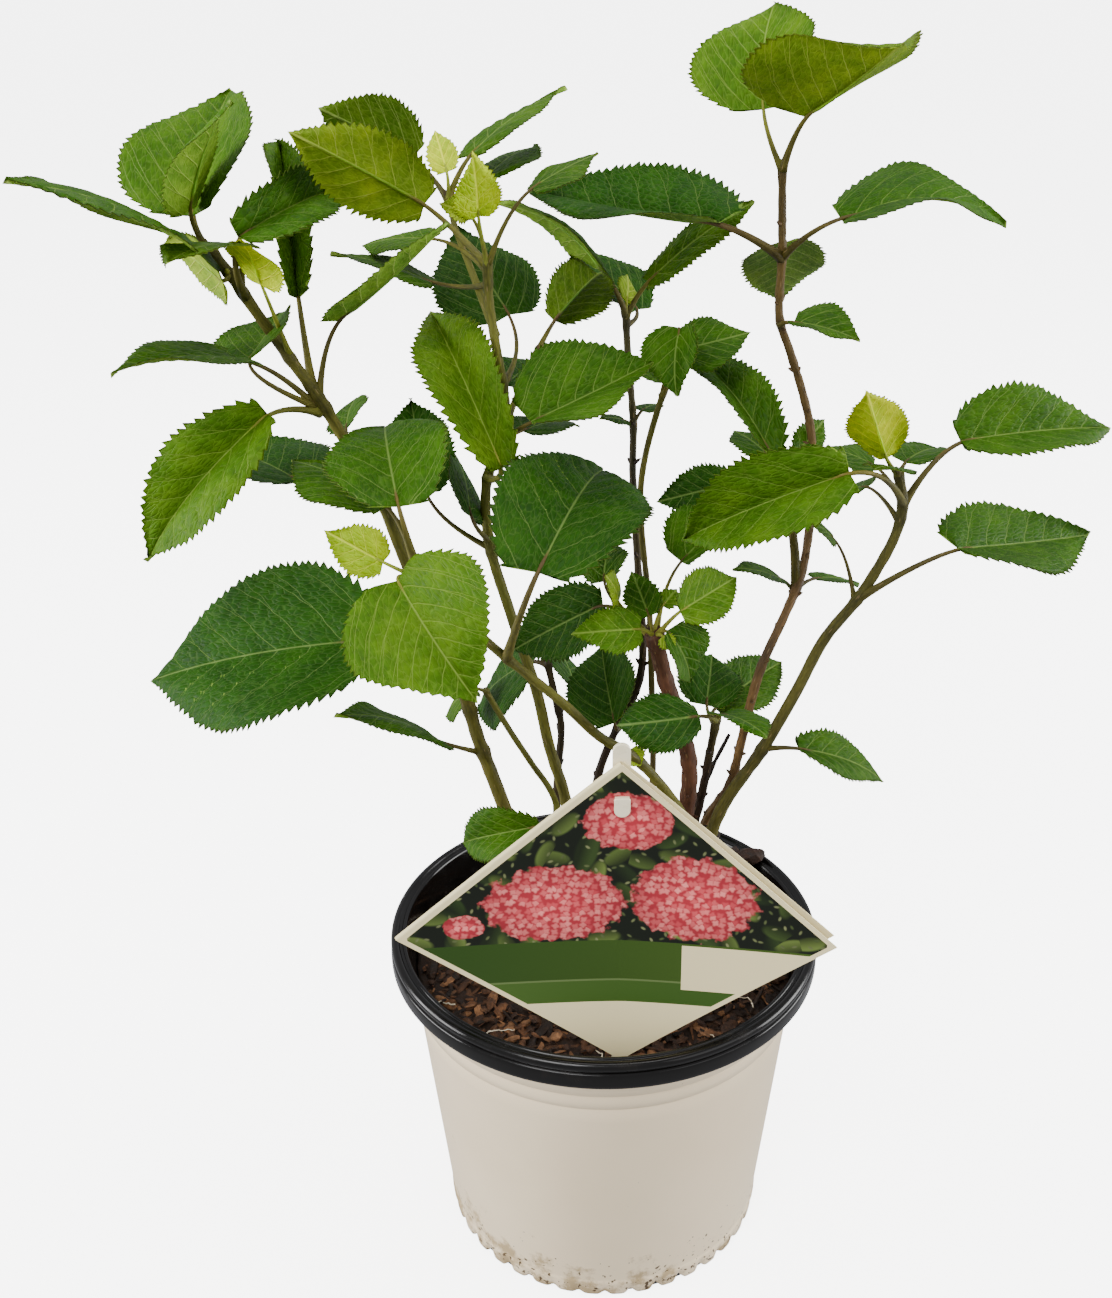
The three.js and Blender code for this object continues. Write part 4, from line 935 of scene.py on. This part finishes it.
seed = 0
for name, stem in stems.items():
    wood, leaves = Growth(), Growth()
    x, y = stem["foot"]
    young, old, woody = stem["bark"]
    young, old = rgb(young), rgb(old)
    draw = random.Random(name)
    line = through([(x, y, stem_bottom), (x, y, stem_bottom + 14), (x, y, soil_top + 6)] + stem["route"],
                   stem_step)
    share = np.linspace(0, 1, len(line))
    radii = stem["radius"] * (1 + (stem["end"] - 1) * share)
    radii = radii * (1 + uneven_along(line, 0.35, len(name), 0) * (0.05 + 0.22 * woody))
    # The stem swells, and is darker, where a stalk leaves it.
    near = np.zeros(len(line))
    for leaf in stem["leaves"]:
        off = np.linalg.norm(line - np.array(leaf[1]), axis=1)
        if off.min() < 3:
            near = np.maximum(near, np.exp(-((np.arange(len(line)) - np.argmin(off)) / 1.4) ** 2))
    radii = radii * (1 + 0.2 * near)
    aged = np.clip(woody * 1.3 + woody ** 4 * 0.8 + (0.35 - share) * 1.2, 0, 1)[:, None]
    tint = young * (1 - aged) + old * aged
    patches = uneven_along(line, 0.07, 4, len(name))
    tint = tint * ((1 - 0.3 * near) * (1 + 0.9 * woody * patches))[:, None]
    grow_rod(wood, line, radii, tint, 14, seed)
    for radius, route in stem.get("shoots", []):
        side_line = through(route, stem_step)
        grow_rod(wood, side_line, radius * np.linspace(1.15, 0.7, len(side_line)), young, 12, seed + 1)
    # Bud scales and spurs stand on the woody stems in pairs.
    at = first_spur
    while woody > 0.5 and at < (len(line) - 12) * stem_step:
        place = int(at / stem_step)
        head = line[place + 1] - line[place - 1]
        out = unit(np.cross(head, (draw.uniform(-1, 1), draw.uniform(-1, 1), 0.2)))
        head = unit(head)
        for hand in (1, -1):
            long = draw.uniform(1.2, 3.2) * (1 if draw.random() < 0.8 else 1.6)
            root = line[place] + hand * out * radii[place] * 0.6
            lean = (hand * out * 0.75 + head * 0.6) * long
            spur = np.array([root + lean * t for t in (0, 0.3, 0.6, 0.85, 1)])
            grow_rod(wood, spur, np.array([0.9, 0.8, 0.6, 0.35, 0.08]), old * 0.8, 7, seed + 2)
        at += draw.uniform(9, 17)
    # Each leaf: a stalk that runs on as the rib under the blade, a bud in its axil, and the blade.
    for tone_name, start, base, tip, width, roll, fold, *bowed in stem["leaves"]:
        seed += 1
        tone = tones[tone_name]
        arch = bowed[0] if bowed else usual_arch
        root, length, axis, level, above, face = leaf_axes(base, tip, math.radians(roll))
        start = np.array(start, float)
        control = root - axis * 0.3 * np.linalg.norm(start - root)
        inside = root + axis * (0.05 * length + 1.5)
        u = 0.05 + 1.5 / length
        inside = inside + face * bow(arch, length, u)
        t = np.linspace(0, 1, 13)[:, None]
        stalk = (1 - t) ** 2 * start + 2 * t * (1 - t) * control + t ** 2 * inside
        thick = 0.7 + 0.008 * length
        girth = thick * (1 - 0.5 * t[:, 0]) * (1 + 0.5 * np.exp(-t[:, 0] * 9))
        ridge_u = np.linspace(u, 0.88, 10)[1:, None]
        thin = thick * 0.5 * (1 - 0.88 * (ridge_u[:, 0] - u) / (0.88 - u))
        ridge = root + axis * length * ridge_u + face * bow(arch, length, ridge_u)
        ridge = ridge - face * (thin * 0.75)[:, None]
        stalk_tint, rib_tint = rgb(tone[2]), rgb(tone[1]) * 1.3
        blend = np.clip(np.linspace(1.1, -0.2, len(t)), 0, 0.75)[:, None]
        tint = np.vstack([young * blend + stalk_tint * (1 - blend), np.tile(rib_tint, (len(ridge), 1))])
        grow_rod(wood, np.vstack([stalk, ridge]), np.concatenate([girth, thin]), tint, 8, seed)
        if length > 24 and woody < 0.9:
            heading = unit(unit(stalk[2] - stalk[0]) + np.array([0, 0, 0.9]))
            bud = np.array([start + heading * (thick * 0.8 + long) for long in (0, 0.7, 1.6, 2.5, 3.1)])
            grow_rod(wood, bud, np.array([0.5, 0.95, 1.0, 0.6, 0.1]), stalk_tint * 0.8, 7, seed)
        grow_blade(leaves, tone, base, tip, width, roll, fold, arch, seed)
    twig = barked(name + "_wood", wood)
    foliage = new_mesh(name + "_blades", np.vstack(leaves.points), leaves.faces, leaf_skin)
    paint(foliage, "leaf_tint", np.vstack(leaves.tints))
    paint(foliage, "leaf_place", np.vstack(leaves.places), "FLOAT_VECTOR")
    paint(foliage, "leaf_veins", np.vstack(leaves.veins), "FLOAT_VECTOR")
    for piece, finish in ((twig, "stem_bark"), (foliage, "leaf_blade")):
        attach(piece, "root")
        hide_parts(name)

# The crown: a knobbly dark stump that the right-hand stems rise from, with a few dead twigs and cut
# stubs on it. Each line lists a rod's places and its radii at both ends.
crown = Growth()
dark_bark = rgb("#21160f")
for route, thick, thin in (
        ([(38, 10, 112), (38, 11, 136), (40, 11, 156), (41.5, 12, 171)], 6.2, 2.6),
        ([(36, 9, 122), (33, 4, 142), (31, 1, 158)], 4.0, 2.4),
        ([(40, 8, 140), (42, 3, 160), (43, 0, 174)], 3.6, 2.2),
        ([(37, 8, 158), (37, 7, 180), (41, 6, 197), (48, 6, 214)], 1.5, 0.7),
        ([(34, 6, 150), (30, 4, 172), (31, 3, 190), (34, 3, 199)], 1.4, 0.5),
        ([(32, 2, 148), (24, 0, 168), (26, 0, 184)], 1.1, 0.6),
        ([(24, 0, 168), (20, -1, 172)], 1.0, 0.4)):
    line = through(route, 1.2)
    lumps = uneven_along(line, 0.4, thick * 5, 2)
    radii = np.linspace(thick, thin, len(line)) * (1 + 0.35 * lumps)
    grow_rod(crown, line, radii, dark_bark * (1 + 0.5 * lumps)[:, None], 14, seed + thick)
stump = barked("tall_right_stem_crown", crown)
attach(stump, "root")
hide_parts("tall_right_stem")

# The plant label: thin polypropylene card, printed on the outside, folded in two and stood on its
# corner, with the back leaf a little open. The print is a plain bed of round flower heads over two
# bare bands and a bare foot.
label_x, label_y = 3, -65
label_top, label_left, label_right, label_low = 243.5, (-73.6, 181.5), (76.6, 173.5), 120.2
label_bow = 8
card_half_width = 75.5
card_edge = 98
print_middle = 179
print_margin = 1.8
card_thickness = 0.6
card_steps = 36


def card_place(a, b, open_by, slide):
    """A point of a leaf of the card, a and b being its shares from the bottom corner along both sides."""
    right_x, right_z = label_right[0] - 0.2 * slide, label_right[1] + slide
    top_x, top_z = label_x + slide * 0.4, label_top + slide * 0.1
    x = label_x + a * (right_x - label_x) + b * (label_left[0] - label_x)
    x += a * b * (top_x - right_x - label_left[0] + label_x)
    z = label_low + a * (right_z - label_low) + b * (label_left[1] - label_low)
    z += a * b * (top_z - right_z - label_left[1] + label_low)
    y = label_y - label_bow * (abs(x - label_x) / 77.5) ** 1.35 + open_by * (1 - b)
    return x, y, z


# Printed card: satin, smooth, off-white stock. The flower heads are many four-petalled florets, drawn
# 3 mm wide, over dark leafy ground.
printed_card = Surface("printed_plastic_card", Roughness=0.4, IOR=1.48, Specular_IOR_Level=0.25)
sheet = printed_card.attribute("sheet", "Vector")
sheet_parts = printed_card.parts(sheet)
flat = printed_card.add("CombineXYZ", {0: sheet_parts[0], 1: sheet_parts[1]})
ragged = printed_card.cloud(flat, 0.22, Detail=3.0)
ragged_by = printed_card.ramp(ragged, 0.2, 0.8, -0.16, 0.16)
nearest_head = None
for centre, radii in (((-23, 10), (24, 15)), ((25, 13), (21, 17)), ((2, 43), (15, 11)), ((-54, 2), (7, 5))):
    away = printed_card.vector("SUBTRACT", flat, (*centre, 0))
    scaled = printed_card.vector("DIVIDE", away, (*radii, 1))
    reach = printed_card.vector("LENGTH", scaled)
    nearest_head = reach if nearest_head is None else printed_card.maths("MINIMUM", nearest_head, reach)
head_reach = printed_card.maths("ADD", nearest_head, ragged_by)
on_head = printed_card.ramp(head_reach, 1.03, 0.97, 0.0, 1.0)
florets = printed_card.cells(flat, 0.42, 0.9)
from_floret = printed_card.vector("SUBTRACT", flat, florets["Position"])
floret_parts = printed_card.parts(from_floret)
bearing = printed_card.maths("ARCTAN2", floret_parts[1], floret_parts[0])
floret_hue = printed_card.add("SeparateColor", {0: florets["Color"]}).outputs
spun = printed_card.maths("MULTIPLY_ADD", floret_hue[0], 6.28, bearing)
four = printed_card.maths("MULTIPLY", spun, 4.0)
lobed = printed_card.maths("COSINE", four)
petal_edge = printed_card.maths("MULTIPLY_ADD", lobed, 0.26, 1.32)
floret_reach = printed_card.vector("LENGTH", from_floret)
petal_share = printed_card.maths("DIVIDE", floret_reach, petal_edge)
petal_light = printed_card.ramp(petal_share, 0.55, 1.15, 1.0, 0.0)
petal = printed_card.blend(floret_hue[1], "#b83c44", "#e4827c")
petal_lit = printed_card.blend(petal_light, "#9c2832", petal)
ball = printed_card.ramp(head_reach, 0.3, 1.05, 1.15, 0.75)
head_colour = printed_card.vector("MULTIPLY", petal_lit, ball)
# Round the heads, pointed leaves lie at all angles over deep shade.
ground_colour = "#0c1206"
for scale, wide, spread, dark, bright in ((0.06, 2.3, 0.5, "#121c0a", "#2a3a16"),
                                          (0.085, 2.0, 0.44, "#1c2c0e", "#5a6a30"),
                                          (0.21, 1.9, 0.15, "#3c4a24", "#7e8258")):
    leafy = printed_card.cells(flat, scale, 1.0)
    from_leaf = printed_card.vector("SUBTRACT", flat, leafy["Position"])
    leaf_hue = printed_card.add("SeparateColor", {0: leafy["Color"]}).outputs
    leaf_turn = printed_card.maths("MULTIPLY", leaf_hue[0], 6.28)
    turned_leaf = printed_card.add("VectorRotate", {"Vector": from_leaf, "Angle": leaf_turn},
                                   rotation_type="Z_AXIS")
    across = printed_card.vector("MULTIPLY", turned_leaf, (1.0, wide, 0.0))
    leaf_reach = printed_card.vector("LENGTH", across)
    on_leaf = printed_card.ramp(leaf_reach, (spread + 0.1) / scale, (spread - 0.04) / scale, 0.0, 0.9)
    leaf_parts = printed_card.parts(turned_leaf)
    half = printed_card.ramp(leaf_parts[1], -2.0, 2.0, 0.4, 1.4)
    leaf_tone = printed_card.blend(leaf_hue[1], dark, bright)
    leaf_colour = printed_card.vector("MULTIPLY", leaf_tone, half)
    ground_colour = printed_card.blend(on_leaf, ground_colour, leaf_colour)
picture = printed_card.blend(on_head, ground_colour, head_colour)
# Below the bed come two green bands with a pale line between them, a bare foot, and a bare box at right.
band_sheen = printed_card.ramp(sheet_parts[0], -60.0, 70.0, 0.0, 1.0)
upper_band = printed_card.blend(band_sheen, "#26400e", "#3a5216")
lower_band = printed_card.blend(band_sheen, "#3f5a20", "#2c4a12")
stock = "#e4d6a6"
for level, colour in ((-5.5, upper_band), (-22.0, "#5a6c3c"), (-22.8, lower_band), (-32.0, stock)):
    below = printed_card.maths("LESS_THAN", sheet_parts[1], level)
    picture = printed_card.blend(below, picture, colour)
boxed = None
for axis, limit, operation in ((0, 21.0, "GREATER_THAN"), (1, -6.4, "LESS_THAN"), (1, -25.5, "GREATER_THAN")):
    inside = printed_card.maths(operation, sheet_parts[axis], limit)
    boxed = inside if boxed is None else printed_card.maths("MULTIPLY", boxed, inside)
picture = printed_card.blend(boxed, picture, stock)
printed = printed_card.maths("GREATER_THAN", sheet_parts[2], print_margin)
finished = printed_card.blend(printed, stock, picture)
printed_card.finish(Base_Color=finished)

points, faces, sheets = [], [], []
for open_by, slide, behind in ((0, 0, 0), (2.8, 1.9, 1.4)):
    for back in (0, 1):
        first = len(points)
        for i in range(card_steps + 1):
            for j in range(card_steps + 1):
                a, b = i / card_steps, j / card_steps
                x, y, z = card_place(a, b, open_by, slide)
                points.append((x, y + behind + back * card_thickness, z))
                p = (x - label_x) / card_half_width
                level = z - (print_middle - 4 * p)
                margin = min(a, 1 - a, b, 1 - b) * card_edge
                sheets.append((p * card_half_width, level, margin if back == 0 and behind == 0 else 0))
        side = card_steps + 1
        for i in range(card_steps):
            for j in range(card_steps):
                corners = (first + i * side + j, first + (i + 1) * side + j,
                           first + (i + 1) * side + j + 1, first + i * side + j + 1)
                faces.append(corners if back == 0 else corners[::-1])
    whole = side * side
    edge = ([i * side for i in range(card_steps, -1, -1)] + list(range(1, side))
            + [i * side + card_steps for i in range(1, side)]
            + [card_steps * side + j for j in range(card_steps - 1, 0, -1)])
    first = len(points) - 2 * whole
    for a, b in zip(edge, edge[1:] + edge[:1]):
        faces.append((first + a, first + b, first + b + whole, first + a + whole))
# The fold joins both leaves along the upper left side.
first = len(points)
for j in range(card_steps + 1):
    a = j / card_steps
    for k in range(7):
        turn = math.pi * k / 6
        x, y, z = card_place(a, 1, 0, 0)
        bulge = 0.9 * math.sin(turn)
        points.append((x - bulge * 0.7, y + 1.0 - 1.0 * math.cos(turn), z + bulge * 0.7))
        sheets.append((0, 0, 0))
for j in range(card_steps):
    for k in range(6):
        a = first + j * 7 + k
        faces.append((a, a + 1, a + 8, a + 7))
card = new_mesh("plant_label_card", points, faces, printed_card, smooth=False)
paint(card, "sheet", sheets, "FLOAT_VECTOR")
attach(card, "root")
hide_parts("plant_label")

# The label's stake: a moulded white polystyrene strip pushed into the mix behind the card, with a
# round head, and a small hooked tab that comes through the card's slot.
stake_half = 3
stake_back = label_y + 2 * card_thickness + 1.1
stake_tip, stake_head = 72, 250
tab_half = 2.7
tab_low, tab_high = 227.2, 231.8


def slab(outline, front, back, bevel):
    """Points and faces of a plate between two depths, from its (x, z) outline, with softened edges."""
    outline = np.array(outline, float)
    centre = outline.mean(0)
    inset = outline - (outline - centre) / np.linalg.norm(outline - centre, axis=1)[:, None] * bevel
    rings = [(inset, front), (outline, front + bevel), (outline, back - bevel), (inset, back)]
    made = [(x, y, z) for ring, y in rings for x, z in ring]
    count = len(outline)
    corners = [tuple(range(count)), tuple(range(4 * count - 1, 3 * count - 1, -1))]
    for k in range(3):
        for m in range(count):
            a, b = k * count + m, k * count + (m + 1) % count
            corners.append((b, a, a + count, b + count))
    return made, corners


# Moulded polystyrene, white: glossy, with a faint cloudy tint.
white_stake = Surface("moulded_white_polystyrene", IOR=1.55)
place = white_stake.place()
faint = white_stake.cloud(place, 1 / 0.004, Detail=3.0)
tint = white_stake.blend(faint, "#e8dcb8", "#f4eace")
rough = white_stake.ramp(faint, 0.3, 0.7, 0.22, 0.4)
white_stake.finish(Base_Color=tint, Roughness=rough)

strip = [(label_x, stake_tip), (label_x + stake_half, stake_tip + 14)]
strip += [(label_x + stake_half * math.cos(a), stake_head - stake_half + stake_half * math.sin(a))
          for a in np.linspace(0, math.pi, 17)]
strip += [(label_x - stake_half, stake_tip + 14)]
points, faces = slab(strip, stake_back, stake_back + 1.6, 0.3)
tab = [(label_x + tab_half * math.cos(a), tab_low + tab_half * math.sin(a))
       for a in np.linspace(math.pi, 2 * math.pi, 13)]
tab += [(label_x + tab_half, tab_high - 0.6), (label_x + tab_half - 0.5, tab_high),
        (label_x - tab_half + 0.5, tab_high), (label_x - tab_half, tab_high - 0.6)]
for outline, front, back in ((tab, label_y - 1.95, label_y - 1.05),
                             ([(label_x - 2.4, 229.8), (label_x + 2.4, 229.8), (label_x + 2.4, 231.6),
                               (label_x - 2.4, 231.6)], label_y - 1.4, stake_back + 0.4)):
    join(*slab(outline, front, back, 0.25))
stake = new_mesh("label_stake_strip", points, faces, white_stake, smooth=False)
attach(stake, "root")
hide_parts("label_stake")
